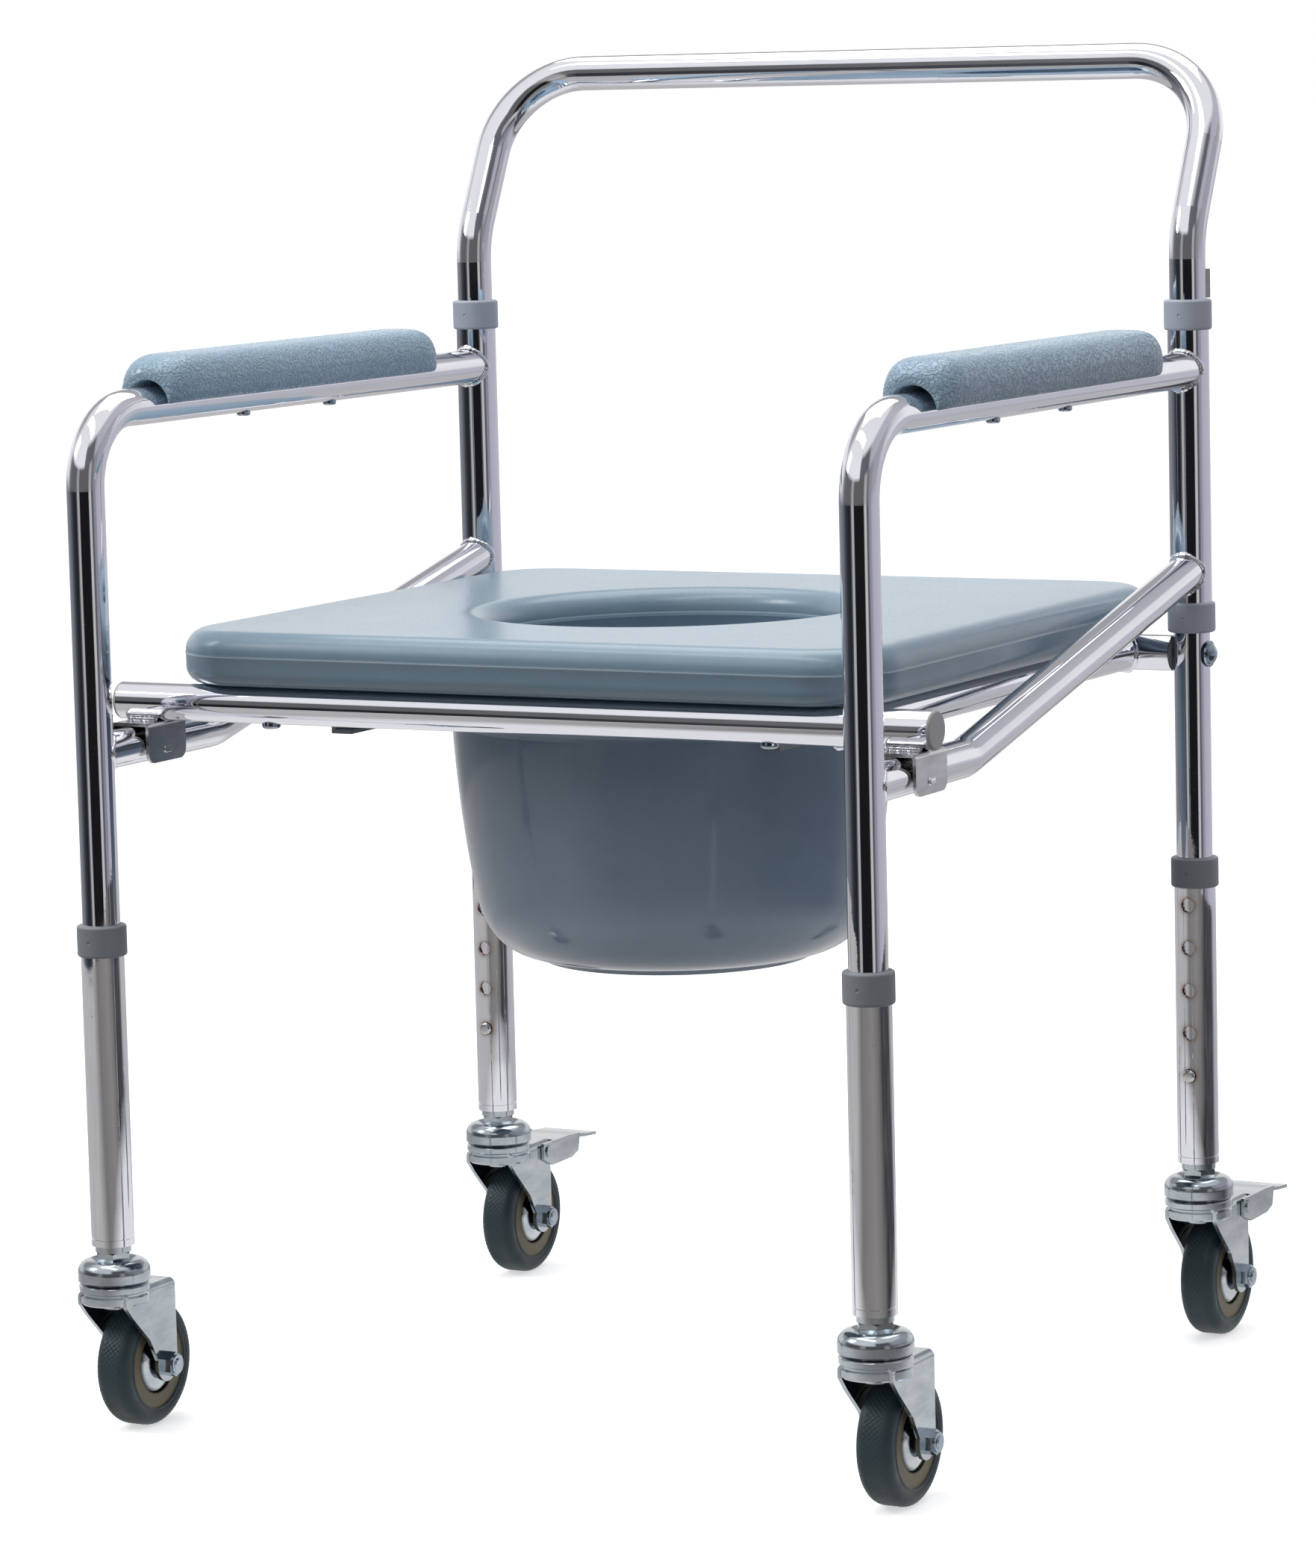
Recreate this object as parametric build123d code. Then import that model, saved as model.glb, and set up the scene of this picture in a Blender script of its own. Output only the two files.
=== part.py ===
from build123d import *
import math
import os

# Folding commode chair on four castors. Millimetres, +X to the right of the chair as seen from
# the front, +Y towards the back, +Z up. The origin is on the floor under the middle of the chair.

# Overall layout
LEG_HALF_SPACING = 249.2
LEG_DEPTH = 459.0
SIDES = (("left", -1), ("right", 1))

# Tubes
TUBE_R = 11.1
TUBE_BORE_R = 9.9
WELD_GAP = 0.01
SLEEVE_R = 12.7
SLEEVE_BORE_R = 11.5

# Back hoop
HOOP_TOP_Z = 790.0
HOOP_LEAN_START_Z = 685.0
HOOP_LEAN_DEG = 27.0
HOOP_LEAN_BEND_R = 60.0
HOOP_CORNER_R = 55.0
INNER_TUBE_END_Z = 150.0

# Side frames
ARM_Z = 603.5
ARM_BEND_R = 45.0
SLEEVE_BOTTOM_Z = 446.7
SLEEVE_TOP_Z = 642.5
RAIL_FLAT_RUN = 126.0
RAIL_WELD_Z = 482.0
RAIL_BEND_R = 38.0

# Collars
COLLAR_R = 14.6
COLLAR_HEIGHT = 18.5
COLLAR_LIP = 3.5
COLLAR_EDGE = 1.6
COLLAR_RUNNING_R = 11.15
DIMPLE_R = 1.3
TAB_GAP = 0.5
TAB_HEIGHT = 17.5
TAB_REACH = 3.2
TAB_THICKNESS = 3.0

# Seat frame and board
CROSS_TUBE_Z = 429.8
CROSS_TUBE_SETBACK = 56.5
CROSS_TUBE_HALF_LENGTH = 264.5
END_CAP_THICKNESS = 2.0
END_CAP_PLUG = 12.0
SIDE_TUBE_X = 206.0
CLIP_PLATE = 2.0
CLIP_RAIL_GAP = 0.3
CLIP_SIDE_GAP = 0.4
CLIP_LENGTH = 40.0
CLIP_DEPTH = 24.0
CLIP_RIB_LENGTH = 8.0
CLIP_RIB_HEIGHT = 4.0
CLIP_RIB_PROUD = 0.9
CLIP_RIB_DROP = 5.0
SEAT_HALF_WIDTH = 231.0
SEAT_LENGTH = 430.0
SEAT_FRONT_OVERHANG = 16.5
SEAT_THICKNESS = 32.2
SEAT_CORNER_R = 46.0
SEAT_TOP_EDGE_R = 13.0
SEAT_BOTTOM_EDGE_R = 10.0
SEAT_HOLE_R = 109.5
SEAT_HOLE_EDGE_R = 13.0
SEAT_HOLE_FROM_FRONT_LEG = 249.0
SEAT_SCREW_X = 163.0
SEAT_SCREW_R = 2.2
SEAT_SCREW_BITE = 12.0
SIDE_BUSH_LENGTH = 22.0
PIVOT_R = 3.0
PIVOT_LENGTH = 41.1
PIVOT_WASHER_R = 8.0
PIVOT_WASHER = 1.2
PIVOT_HEAD_R = 6.3
PIVOT_HEAD_EDGE = 1.0
PIVOT_DOME = 2.9
RUNNING_GAP = 0.05

# Pail
PAIL_WALL = 2.4
PAIL_FOOT_R = 82.0
PAIL_FOOT_Z = 262.5
PAIL_FOOT_HEIGHT = 3.0
PAIL_CORNER_R = 110.0
PAIL_CORNER_RISE = 10.0
PAIL_SIDE_R = 121.0
PAIL_SIDE_RISE = 38.0
PAIL_RIM_Z = 411.7
PAIL_RIM_THICKNESS = 4.6
PAIL_RIM_EDGE = 1.6
PAIL_RIM_R = 144.5
PAIL_TOP_R = 133.0
RUNNER_LENGTH = 300.0
RUNNER_WALL = 2.5
RUNNER_LEDGE = 11.0
RUNNER_FLANGE = 14.0
RUNNER_RIM_GAP = 0.4
RUNNER_SIDE_GAP = 1.0

# Telescoping legs
LEG_BOTTOM_Z = 114.0
LEG_TOP_Z = 301.0
HOLE_PITCH = 26.5
HOLE_COUNT = 5
BUTTON_Z = 169.5
BUTTON_R = 4.0
HOLE_R = 4.3
BUTTON_PROUD = 2.2
SPRING_WIDTH = 6.0
SPRING_HEIGHT = 38.0
SPRING_METAL = 0.8

# Castors
WHEEL_R = 37.5
WHEEL_WIDTH = 22.0
CASTOR_TRAIL = 28.0
CUP_R = 21.4
CUP_BOTTOM_Z = 92.0
CUP_TOP_Z = 105.5
NUT_BOTTOM_Z = 103.5
NUT_TOP_Z = 110.0
NUT_ACROSS_FLATS = 19.0
STEM_R = 5.0
RACE_TOP_Z = 91.3
RACE_BOTTOM_Z = 79.5
FORK_TOP_Z = 87.5
FORK_PLATE = 2.5
FORK_OUTER_X = 17.0
FORK_FRONT = -14.0
FORK_BOSS_R = 10.5
AXLE_R = 4.0
AXLE_NUT_ACROSS_FLATS = 13.0
AXLE_WASHER = 1.0
AXLE_WASHER_R = 8.5
AXLE_HEAD = 3.4
AXLE_NUT = 5.8
AXLE_NUT_RING = 1.4
AXLE_NUT_RING_R = 5.8
AXLE_END_X = 25.2
TYRE_BORE_R = 27.0
HUB_R = 6.0
HUB_HALF_LENGTH = 14.2
HUB_COVER_R = 18.3
PEDAL_REACH = 98.0
PEDAL_PLATE = 2.0
PEDAL_PIVOT_Y = 33.0
PEDAL_PIVOT_Z = 80.5
PEDAL_PIN_R = 2.5
PEDAL_TOP_Z = 86.5
PEDAL_LIP_Z = 82.4
SHOE_HALF_WIDTH = 9.0

# Armrest pads
PAD_HALF_WIDTH = 23.0
PAD_TOP_Z = 633.0
PAD_BOTTOM_Z = 604.5
PAD_FRONT_FROM_LEG = 67.5
PAD_LENGTH = 313.0
PAD_SCREW_PITCH = 100.0

# Places worked out from the layout
FRONT_Y = -(LEG_DEPTH + CUP_R + PEDAL_REACH) / 2 + CUP_R
REAR_Y = FRONT_Y + LEG_DEPTH
CROSS_TUBE_Y = FRONT_Y + CROSS_TUBE_SETBACK
RAIL_Z = CROSS_TUBE_Z - 2 * TUBE_R - CLIP_PLATE - CLIP_RAIL_GAP
SEAT_BOTTOM_Z = CROSS_TUBE_Z + TUBE_R
SEAT_TOP_Z = SEAT_BOTTOM_Z + SEAT_THICKNESS
SEAT_FRONT_Y = CROSS_TUBE_Y - SEAT_FRONT_OVERHANG
SEAT_HOLE_Y = FRONT_Y + SEAT_HOLE_FROM_FRONT_LEG
PAIL_Y = SEAT_HOLE_Y
PAD_FRONT_Y = FRONT_Y + PAD_FRONT_FROM_LEG
PAD_MIDDLE_Y = PAD_FRONT_Y + PAD_LENGTH / 2
COLLAR_TOP_Z = LEG_TOP_Z + COLLAR_LIP
FAR = 400.0
LEGS = tuple(
    (f"{end}_{side}", sign * LEG_HALF_SPACING, y, facing)
    for end, y, facing in (("front", FRONT_Y, 1), ("rear", REAR_Y, -1))
    for side, sign in SIDES
)


def save(name, shape):
    """Write one node, as a single solid or a compound of separate solids."""
    shape.label = name
    export_step(shape, f"parts/{name}.step")


def group(solids):
    return Compound(children=list(solids))


def upright(x, y, low, high, radius):
    """A vertical cylinder between two heights."""
    return Pos(x, y, (low + high) / 2) * Cylinder(radius, high - low)


def across(x_low, x_high, y, z, radius):
    """A cylinder along X."""
    bar = Rot(0, 90, 0) * Cylinder(radius, x_high - x_low)
    return Pos((x_low + x_high) / 2, y, z) * bar


def lengthwise(x, y_low, y_high, z, radius):
    """A cylinder along Y."""
    bar = Rot(90, 0, 0) * Cylinder(radius, y_high - y_low)
    return Pos(x, (y_low + y_high) / 2, z) * bar


def bent_tube(points, radii, outer, bore):
    """A hollow tube that follows straight runs with rounded corners."""
    path = FilletPolyline(*points, radius=radii)
    ring = Circle(outer) - Circle(bore)
    return sweep(Plane(path @ 0, z_dir=path % 0) * ring, path)


def hexagon(across_flats, height):
    """A hexagonal prism that stands on the XY plane."""
    return extrude(RegularPolygon(across_flats / 2, 6, major_radius=False), height)


def turned(profile, x, y):
    """A solid of revolution about a vertical axis, from (radius, height) points."""
    outline = make_face(Polyline(*profile, close=True))
    solid = revolve(Plane.XZ * outline, Axis.Z)
    return Pos(x, y, 0) * solid


# Frame ---------------------------------------------------------------------------------------


def back_hoop():
    """Rear legs, backrest posts and push bar, bent from one tube."""
    lean = (HOOP_TOP_Z - HOOP_LEAN_START_Z) * math.tan(math.radians(HOOP_LEAN_DEG))
    half = [
        (LEG_HALF_SPACING, REAR_Y, INNER_TUBE_END_Z),
        (LEG_HALF_SPACING, REAR_Y, HOOP_LEAN_START_Z),
        (LEG_HALF_SPACING, REAR_Y + lean, HOOP_TOP_Z),
    ]
    points = half + [(-x, y, z) for x, y, z in reversed(half)]
    radii = [HOOP_LEAN_BEND_R, HOOP_CORNER_R, HOOP_CORNER_R, HOOP_LEAN_BEND_R]
    hoop = bent_tube(points, radii, TUBE_R, TUBE_BORE_R)
    for sign in (-1, 1):
        x = sign * LEG_HALF_SPACING
        hoop -= lengthwise(x, REAR_Y - 2 * TUBE_R, REAR_Y, BUTTON_Z, HOLE_R)
        hoop -= across(x - FAR / 10, x + FAR / 10, REAR_Y, CROSS_TUBE_Z, PIVOT_R + RUNNING_GAP)
    return hoop


def arm_tube(x):
    """Front leg and armrest in one bent tube, welded to the sleeve on the rear post."""
    points = [
        (x, FRONT_Y, INNER_TUBE_END_Z),
        (x, FRONT_Y, ARM_Z),
        (x, REAR_Y, ARM_Z),
    ]
    tube = bent_tube(points, [ARM_BEND_R], TUBE_R, TUBE_BORE_R)
    tube -= upright(x, REAR_Y, ARM_Z - FAR / 10, ARM_Z + FAR / 10, SLEEVE_R)
    for y in pad_screw_rows():
        tube -= upright(x, y, ARM_Z - 2 * TUBE_R, ARM_Z + 2 * TUBE_R, SEAT_SCREW_R)
    return tube - lengthwise(x, FRONT_Y, FRONT_Y + 2 * TUBE_R, BUTTON_Z, HOLE_R)


def post_sleeve(x):
    sleeve = upright(x, REAR_Y, SLEEVE_BOTTOM_Z, SLEEVE_TOP_Z, SLEEVE_R)
    return sleeve - upright(x, REAR_Y, SLEEVE_BOTTOM_Z, SLEEVE_TOP_Z, SLEEVE_BORE_R)


def side_rail(x):
    """Rail under the seat edge, then rising to the sleeve."""
    points = [
        (x, FRONT_Y, RAIL_Z),
        (x, FRONT_Y + RAIL_FLAT_RUN, RAIL_Z),
        (x, REAR_Y, RAIL_WELD_Z),
    ]
    rail = bent_tube(points, [RAIL_BEND_R], TUBE_R, TUBE_BORE_R)
    rail -= upright(x, FRONT_Y, RAIL_Z - FAR / 4, RAIL_Z + FAR / 4, TUBE_R)
    return rail - upright(x, REAR_Y, RAIL_WELD_Z - FAR / 4, RAIL_WELD_Z + FAR / 4, SLEEVE_R)


def collar(x, y, outer_z, direction, small_r):
    """Plastic cap where a 22 mm tube enters a 25 mm tube. direction is +1 if its lip is on top."""
    inner_z = outer_z - direction * COLLAR_HEIGHT
    seat_z = outer_z - direction * COLLAR_LIP
    low, high = sorted((outer_z, inner_z))
    body = upright(x, y, low, high, COLLAR_R)
    body = fillet(body.edges().filter_by(GeomType.CIRCLE), COLLAR_EDGE)
    body -= upright(x, y, low, high, small_r)
    body -= upright(x, y, *sorted((seat_z, inner_z)), SLEEVE_R)
    dimple_y = y - COLLAR_R - DIMPLE_R / 2
    return body - Pos(x, dimple_y, (low + high) / 2) * Sphere(DIMPLE_R)


def post_collars():
    for sign in (-1, 1):
        x = sign * LEG_HALF_SPACING
        yield collar(x, REAR_Y, SLEEVE_TOP_Z + COLLAR_LIP, 1, TUBE_R)
        yield collar(x, REAR_Y, SLEEVE_BOTTOM_Z - COLLAR_LIP, -1, TUBE_R)


def stop_tab(sign):
    """Small plate on the back of the post, just above the top collar."""
    low = SLEEVE_TOP_Z + COLLAR_LIP + TAB_GAP
    post = upright(sign * LEG_HALF_SPACING, REAR_Y, low, low + TAB_HEIGHT, TUBE_R)
    plate = Pos(TUBE_R, 0, 0) * Box(2 * TAB_REACH, TAB_THICKNESS, TAB_HEIGHT)
    turn = Rot(0, 0, 45 if sign > 0 else 135)
    return Pos(sign * LEG_HALF_SPACING, REAR_Y, low + TAB_HEIGHT / 2) * turn * plate - post


def pivot_bolt(sign):
    """Domed bolt and washer through the post into the end of the rear cross tube."""
    post_face = LEG_HALF_SPACING + TUBE_R
    tip = post_face - PIVOT_LENGTH
    washer_face = post_face + PIVOT_WASHER
    dome_start = washer_face + PIVOT_HEAD_EDGE
    dome_tip = dome_start + PIVOT_DOME
    dome_r = (PIVOT_HEAD_R**2 + PIVOT_DOME**2) / (2 * PIVOT_DOME)
    half_angle = math.asin(PIVOT_HEAD_R / dome_r) / 2
    on_dome = (dome_tip - dome_r * (1 - math.cos(half_angle)), dome_r * math.sin(half_angle))
    outline = Curve() + [
        Line((tip, 0), (tip, PIVOT_R)),
        Line((tip, PIVOT_R), (post_face, PIVOT_R)),
        Line((post_face, PIVOT_R), (post_face, PIVOT_WASHER_R)),
        Line((post_face, PIVOT_WASHER_R), (washer_face, PIVOT_WASHER_R)),
        Line((washer_face, PIVOT_WASHER_R), (washer_face, PIVOT_HEAD_R)),
        Line((washer_face, PIVOT_HEAD_R), (dome_start, PIVOT_HEAD_R)),
        ThreePointArc((dome_start, PIVOT_HEAD_R), on_dome, (dome_tip, 0)),
        Line((dome_tip, 0), (tip, 0)),
    ]
    bolt = Pos(0, REAR_Y, CROSS_TUBE_Z) * revolve(Plane.XY * make_face(outline), Axis.X)
    return bolt if sign > 0 else Rot(0, 0, 180) * Pos(0, -2 * REAR_Y, 0) * bolt


def pad_screw_rows():
    return (PAD_MIDDLE_Y - PAD_SCREW_PITCH / 2, PAD_MIDDLE_Y + PAD_SCREW_PITCH / 2)


def pad_screw(x, y):
    under = ARM_Z - TUBE_R
    head = upright(x, y, under - 2.2, under + 1.2, 4.2)
    head = fillet(head.edges().group_by(Axis.Z)[0], 1.5)
    head -= lengthwise(x, y - 10, y + 10, ARM_Z, TUBE_R)
    return head + upright(x, y, under - 0.5, PAD_TOP_Z - 8, SEAT_SCREW_R)


def armrest_pad(x):
    """Plain shape of the pad: it sits on the upper half of the arm tube."""
    height = PAD_TOP_Z - PAD_BOTTOM_Z
    pad = Box(2 * PAD_HALF_WIDTH, PAD_LENGTH, height)
    pad = fillet(pad.edges().filter_by(Axis.Z), 18.0)
    pad = fillet(pad.edges().group_by(Axis.Z)[-1], 12.0)
    pad = Pos(x, PAD_MIDDLE_Y, PAD_BOTTOM_Z + height / 2) * pad
    pad -= lengthwise(x, FRONT_Y, REAR_Y, ARM_Z, TUBE_R)
    for y in pad_screw_rows():
        pad -= upright(x, y, ARM_Z, PAD_TOP_Z - 8, SEAT_SCREW_R)
    return pad


def build_frame():
    save("back_hoop", back_hoop())
    for side, sign in SIDES:
        x = sign * LEG_HALF_SPACING
        save(f"arm_tube_{side}", arm_tube(x))
        save(f"side_rail_{side}", side_rail(x))
        save(f"armrest_pad_{side}", armrest_pad(x))
    signs = [sign for _, sign in SIDES]
    save("post_sleeves", group(post_sleeve(sign * LEG_HALF_SPACING) for sign in signs))
    save("post_collars", group(post_collars()))
    save("stop_tabs", group(stop_tab(sign) for sign in signs))
    save("pivot_bolts", group(pivot_bolt(sign) for sign in signs))
    screws = [pad_screw(sign * LEG_HALF_SPACING, y) for sign in signs for y in pad_screw_rows()]
    save("pad_screws", group(screws))


# Seat ----------------------------------------------------------------------------------------


def rear_tube_half_length():
    return LEG_HALF_SPACING - TUBE_R - 0.6


def front_cross_tube():
    half = CROSS_TUBE_HALF_LENGTH
    tube = across(-half, half, CROSS_TUBE_Y, CROSS_TUBE_Z, TUBE_R)
    tube -= across(-half, half, CROSS_TUBE_Y, CROSS_TUBE_Z, TUBE_BORE_R)
    return drilled(tube, CROSS_TUBE_Y)


def rear_cross_tube():
    half = rear_tube_half_length()
    tube = across(-half, half, REAR_Y, CROSS_TUBE_Z, TUBE_R)
    tube -= across(-half, half, REAR_Y, CROSS_TUBE_Z, TUBE_BORE_R)
    return drilled(tube, REAR_Y)


def drilled(tube, y):
    """Two holes through a cross tube for the seat screws."""
    for x in (-SEAT_SCREW_X, SEAT_SCREW_X):
        tube -= upright(x, y, CROSS_TUBE_Z - 2 * TUBE_R, CROSS_TUBE_Z + 2 * TUBE_R, SEAT_SCREW_R)
    return tube


def seat_side_tube(x):
    tube = lengthwise(x, CROSS_TUBE_Y, REAR_Y, CROSS_TUBE_Z, TUBE_R)
    tube -= lengthwise(x, CROSS_TUBE_Y, REAR_Y, CROSS_TUBE_Z, TUBE_BORE_R)
    for y in (CROSS_TUBE_Y, REAR_Y):
        tube -= across(x - 3 * TUBE_R, x + 3 * TUBE_R, y, CROSS_TUBE_Z, TUBE_R + WELD_GAP)
    return tube


def seat_clip(x):
    """Upside-down channel, welded under the cross tube and dropped over the side rail."""
    inner = 2 * (TUBE_R + CLIP_SIDE_GAP)
    outer = inner + 2 * CLIP_PLATE
    top = CROSS_TUBE_Z - TUBE_R
    place = Pos(x, CROSS_TUBE_Y, top - CLIP_DEPTH / 2)
    channel = Box(outer, CLIP_LENGTH, CLIP_DEPTH)
    channel = fillet(channel.edges().filter_by(Axis.Y).group_by(Axis.Z)[-1], 3.0)
    channel = fillet(channel.edges().filter_by(Axis.X).group_by(Axis.Z)[0], 6.0)
    hollow = Box(inner, CLIP_LENGTH, CLIP_DEPTH)
    hollow = fillet(hollow.edges().filter_by(Axis.Y).group_by(Axis.Z)[-1], 1.0)
    channel -= Pos(0, 0, -CLIP_PLATE) * hollow
    rib = Box(outer + 2 * CLIP_RIB_PROUD, CLIP_RIB_LENGTH, CLIP_RIB_HEIGHT)
    rib = fillet(rib.edges().filter_by(Axis.X), CLIP_RIB_HEIGHT / 2 - RUNNING_GAP)
    ends = rib.edges().group_by(Axis.X)
    rib = fillet(ends[0] + ends[-1], CLIP_RIB_PROUD / 2)
    rib -= Box(outer - CLIP_PLATE, 2 * CLIP_RIB_LENGTH, 2 * CLIP_RIB_HEIGHT)
    channel += Pos(0, 0, -CLIP_RIB_DROP) * rib
    return place * channel


def end_cap(sign):
    half = CROSS_TUBE_HALF_LENGTH
    disc = across(half, half + END_CAP_THICKNESS, CROSS_TUBE_Y, CROSS_TUBE_Z, TUBE_R)
    disc = fillet(disc.edges().group_by(Axis.X)[-1], 1.2)
    cap = disc + across(half - END_CAP_PLUG, half, CROSS_TUBE_Y, CROSS_TUBE_Z, TUBE_BORE_R)
    return cap if sign > 0 else mirror(cap, about=Plane.YZ)


def pivot_bush(sign):
    """Plug in the end of the rear cross tube that turns on the pivot bolt."""
    half = rear_tube_half_length()
    bush = across(half - SIDE_BUSH_LENGTH, half, REAR_Y, CROSS_TUBE_Z, TUBE_BORE_R)
    bush -= across(half - SIDE_BUSH_LENGTH, half, REAR_Y, CROSS_TUBE_Z, PIVOT_R + RUNNING_GAP)
    return bush if sign > 0 else mirror(bush, about=Plane.YZ)


def seat_board():
    board = Box(2 * SEAT_HALF_WIDTH, SEAT_LENGTH, SEAT_THICKNESS)
    board = fillet(board.edges().filter_by(Axis.Z), SEAT_CORNER_R)
    board = fillet(board.edges().group_by(Axis.Z)[-1], SEAT_TOP_EDGE_R)
    board = fillet(board.edges().group_by(Axis.Z)[0], SEAT_BOTTOM_EDGE_R)
    middle_y = SEAT_FRONT_Y + SEAT_LENGTH / 2
    board = Pos(0, middle_y, SEAT_BOTTOM_Z + SEAT_THICKNESS / 2) * board
    board -= upright(0, SEAT_HOLE_Y, SEAT_BOTTOM_Z - 1, SEAT_TOP_Z + 1, SEAT_HOLE_R)
    rim = board.edges().filter_by(GeomType.CIRCLE).filter_by(lambda e: e.radius == SEAT_HOLE_R)
    board = fillet(rim.group_by(Axis.Z)[-1], SEAT_HOLE_EDGE_R)
    for x in (-SEAT_SCREW_X, SEAT_SCREW_X):
        for y in (CROSS_TUBE_Y, REAR_Y):
            board -= upright(x, y, SEAT_BOTTOM_Z - 1, SEAT_BOTTOM_Z + SEAT_SCREW_BITE, SEAT_SCREW_R)
    return board


def seat_screw(x, y):
    under = CROSS_TUBE_Z - TUBE_R
    head = upright(x, y, under - 2.6, under + 1.4, 5.5)
    head = fillet(head.edges().group_by(Axis.Z)[0], 2.0)
    head -= across(x - 10, x + 10, y, CROSS_TUBE_Z, TUBE_R)
    return head + upright(x, y, under - 0.5, SEAT_BOTTOM_Z + SEAT_SCREW_BITE, SEAT_SCREW_R)


def pail_runner(sign):
    """L-shaped runner under the board: the pail's rim rests on its ledge and slides out back."""
    top = SEAT_BOTTOM_Z
    low = PAIL_RIM_Z - RUNNER_RIM_GAP - RUNNER_WALL
    inner = PAIL_RIM_R + RUNNER_SIDE_GAP
    web = Box(RUNNER_WALL, RUNNER_LENGTH, top - low)
    web = Pos(inner + RUNNER_WALL / 2, PAIL_Y, (top + low) / 2) * web
    ledge = Box(RUNNER_LEDGE, RUNNER_LENGTH, RUNNER_WALL)
    ledge = Pos(inner - RUNNER_LEDGE / 2, PAIL_Y, low + RUNNER_WALL / 2) * ledge
    flange = Box(RUNNER_FLANGE, RUNNER_LENGTH, RUNNER_WALL)
    flange = Pos(inner + RUNNER_FLANGE / 2, PAIL_Y, top - RUNNER_WALL / 2) * flange
    runner = web + ledge + flange
    return runner if sign > 0 else mirror(runner, about=Plane.YZ)


def pail_side(floor_z, thinner):
    """Half section of the pail's wall, from its floor to the top, thinner by a wall or by none."""
    foot = (PAIL_FOOT_R, floor_z)
    corner = (PAIL_CORNER_R - thinner / 2, floor_z + PAIL_CORNER_RISE)
    side = (PAIL_SIDE_R - thinner, PAIL_FOOT_Z + PAIL_FOOT_HEIGHT + PAIL_SIDE_RISE)
    return [
        Line((0, floor_z), foot),
        Spline(foot, corner, side, tangents=((1, 0.06), (0.18, 1))),
    ], side


def pail():
    """Bucket with a flat rim, tapered wall, round corner and a foot ring."""
    floor_z = PAIL_FOOT_Z + PAIL_FOOT_HEIGHT
    rim_top = PAIL_RIM_Z + PAIL_RIM_THICKNESS
    outer, side = pail_side(floor_z, 0)
    outer += [
        Spline(side, (PAIL_TOP_R, PAIL_RIM_Z), tangents=((0.18, 1), (0.05, 1))),
        Line((PAIL_TOP_R, PAIL_RIM_Z), (PAIL_RIM_R, PAIL_RIM_Z)),
        Line((PAIL_RIM_R, PAIL_RIM_Z), (PAIL_RIM_R, rim_top)),
        Line((PAIL_RIM_R, rim_top), (0, rim_top)),
        Line((0, rim_top), (0, floor_z)),
    ]
    body = revolve(Plane.XZ * make_face(Curve() + outer), Axis.Z)
    body = fillet(body.edges().group_by(Axis.Z)[-1], PAIL_RIM_EDGE)
    inner, side = pail_side(floor_z + PAIL_WALL, PAIL_WALL)
    mouth = (PAIL_TOP_R - PAIL_WALL, rim_top)
    inner += [
        Spline(side, mouth, tangents=((0.18, 1), (0.05, 1))),
        Line(mouth, (0, rim_top)),
        Line((0, rim_top), (0, floor_z + PAIL_WALL)),
    ]
    body -= revolve(Plane.XZ * make_face(Curve() + inner), Axis.Z)
    foot = upright(0, 0, PAIL_FOOT_Z, floor_z + 1, PAIL_FOOT_R)
    foot -= upright(0, 0, PAIL_FOOT_Z, floor_z + 1, PAIL_FOOT_R - PAIL_WALL)
    return Pos(0, PAIL_Y, 0) * (body + foot)


def build_seat():
    save("front_cross_tube", front_cross_tube())
    save("rear_cross_tube", rear_cross_tube())
    save("seat_board", seat_board())
    save("pail", pail())
    signs = [sign for _, sign in SIDES]
    save("seat_side_tubes", group(seat_side_tube(sign * SIDE_TUBE_X) for sign in signs))
    save("seat_clips", group(seat_clip(sign * LEG_HALF_SPACING) for sign in signs))
    save("tube_end_caps", group(end_cap(sign) for sign in signs))
    save("pivot_bushes", group(pivot_bush(sign) for sign in signs))
    save("pail_runners", group(pail_runner(sign) for sign in signs))
    rows = (CROSS_TUBE_Y, REAR_Y)
    save("seat_screws", group(seat_screw(s * SEAT_SCREW_X, y) for s in signs for y in rows))


# Legs ----------------------------------------------------------------------------------------


def leg_tube(x, y, facing):
    """Outer leg tube with its row of holes and the crimped groove near the bottom."""
    tube = upright(x, y, LEG_BOTTOM_Z, LEG_TOP_Z, SLEEVE_R)
    groove_z = LEG_BOTTOM_Z + 4.0
    groove = upright(x, y, groove_z, groove_z + 1.2, 2 * SLEEVE_R)
    tube -= groove - upright(x, y, groove_z, groove_z + 1.2, SLEEVE_R - 0.5)
    tube -= upright(x, y, LEG_BOTTOM_Z, LEG_TOP_Z, SLEEVE_BORE_R)
    for index in range(HOLE_COUNT):
        z = BUTTON_Z + index * HOLE_PITCH
        ends = sorted((y, y + facing * 2 * SLEEVE_R))
        tube -= lengthwise(x, *ends, z, HOLE_R)
    return tube


def snap_button(x, y, facing):
    """Button and V spring in one piece, inside the inner tube."""
    wide = TUBE_BORE_R - 1.0
    tip = BUTTON_Z + SPRING_HEIGHT
    low = BUTTON_Z - 7.0
    outline = Polyline(
        (-wide, low),
        (-SPRING_METAL, tip),
        (SPRING_METAL, tip),
        (wide, low),
        (wide - SPRING_METAL, low),
        (0, tip - 3 * SPRING_METAL),
        (SPRING_METAL - wide, low),
        close=True,
    )
    spring = extrude(Plane.YZ * make_face(outline), SPRING_WIDTH / 2, both=True)
    head_end = SLEEVE_R + BUTTON_PROUD
    head = lengthwise(0, wide - 2.0, head_end, BUTTON_Z, BUTTON_R)
    head = fillet(head.edges().group_by(Axis.Y)[-1], 1.6)
    piece = spring + head
    if facing < 0:
        piece = Rot(0, 0, 180) * piece
    return Pos(x, y, 0) * piece


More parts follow.
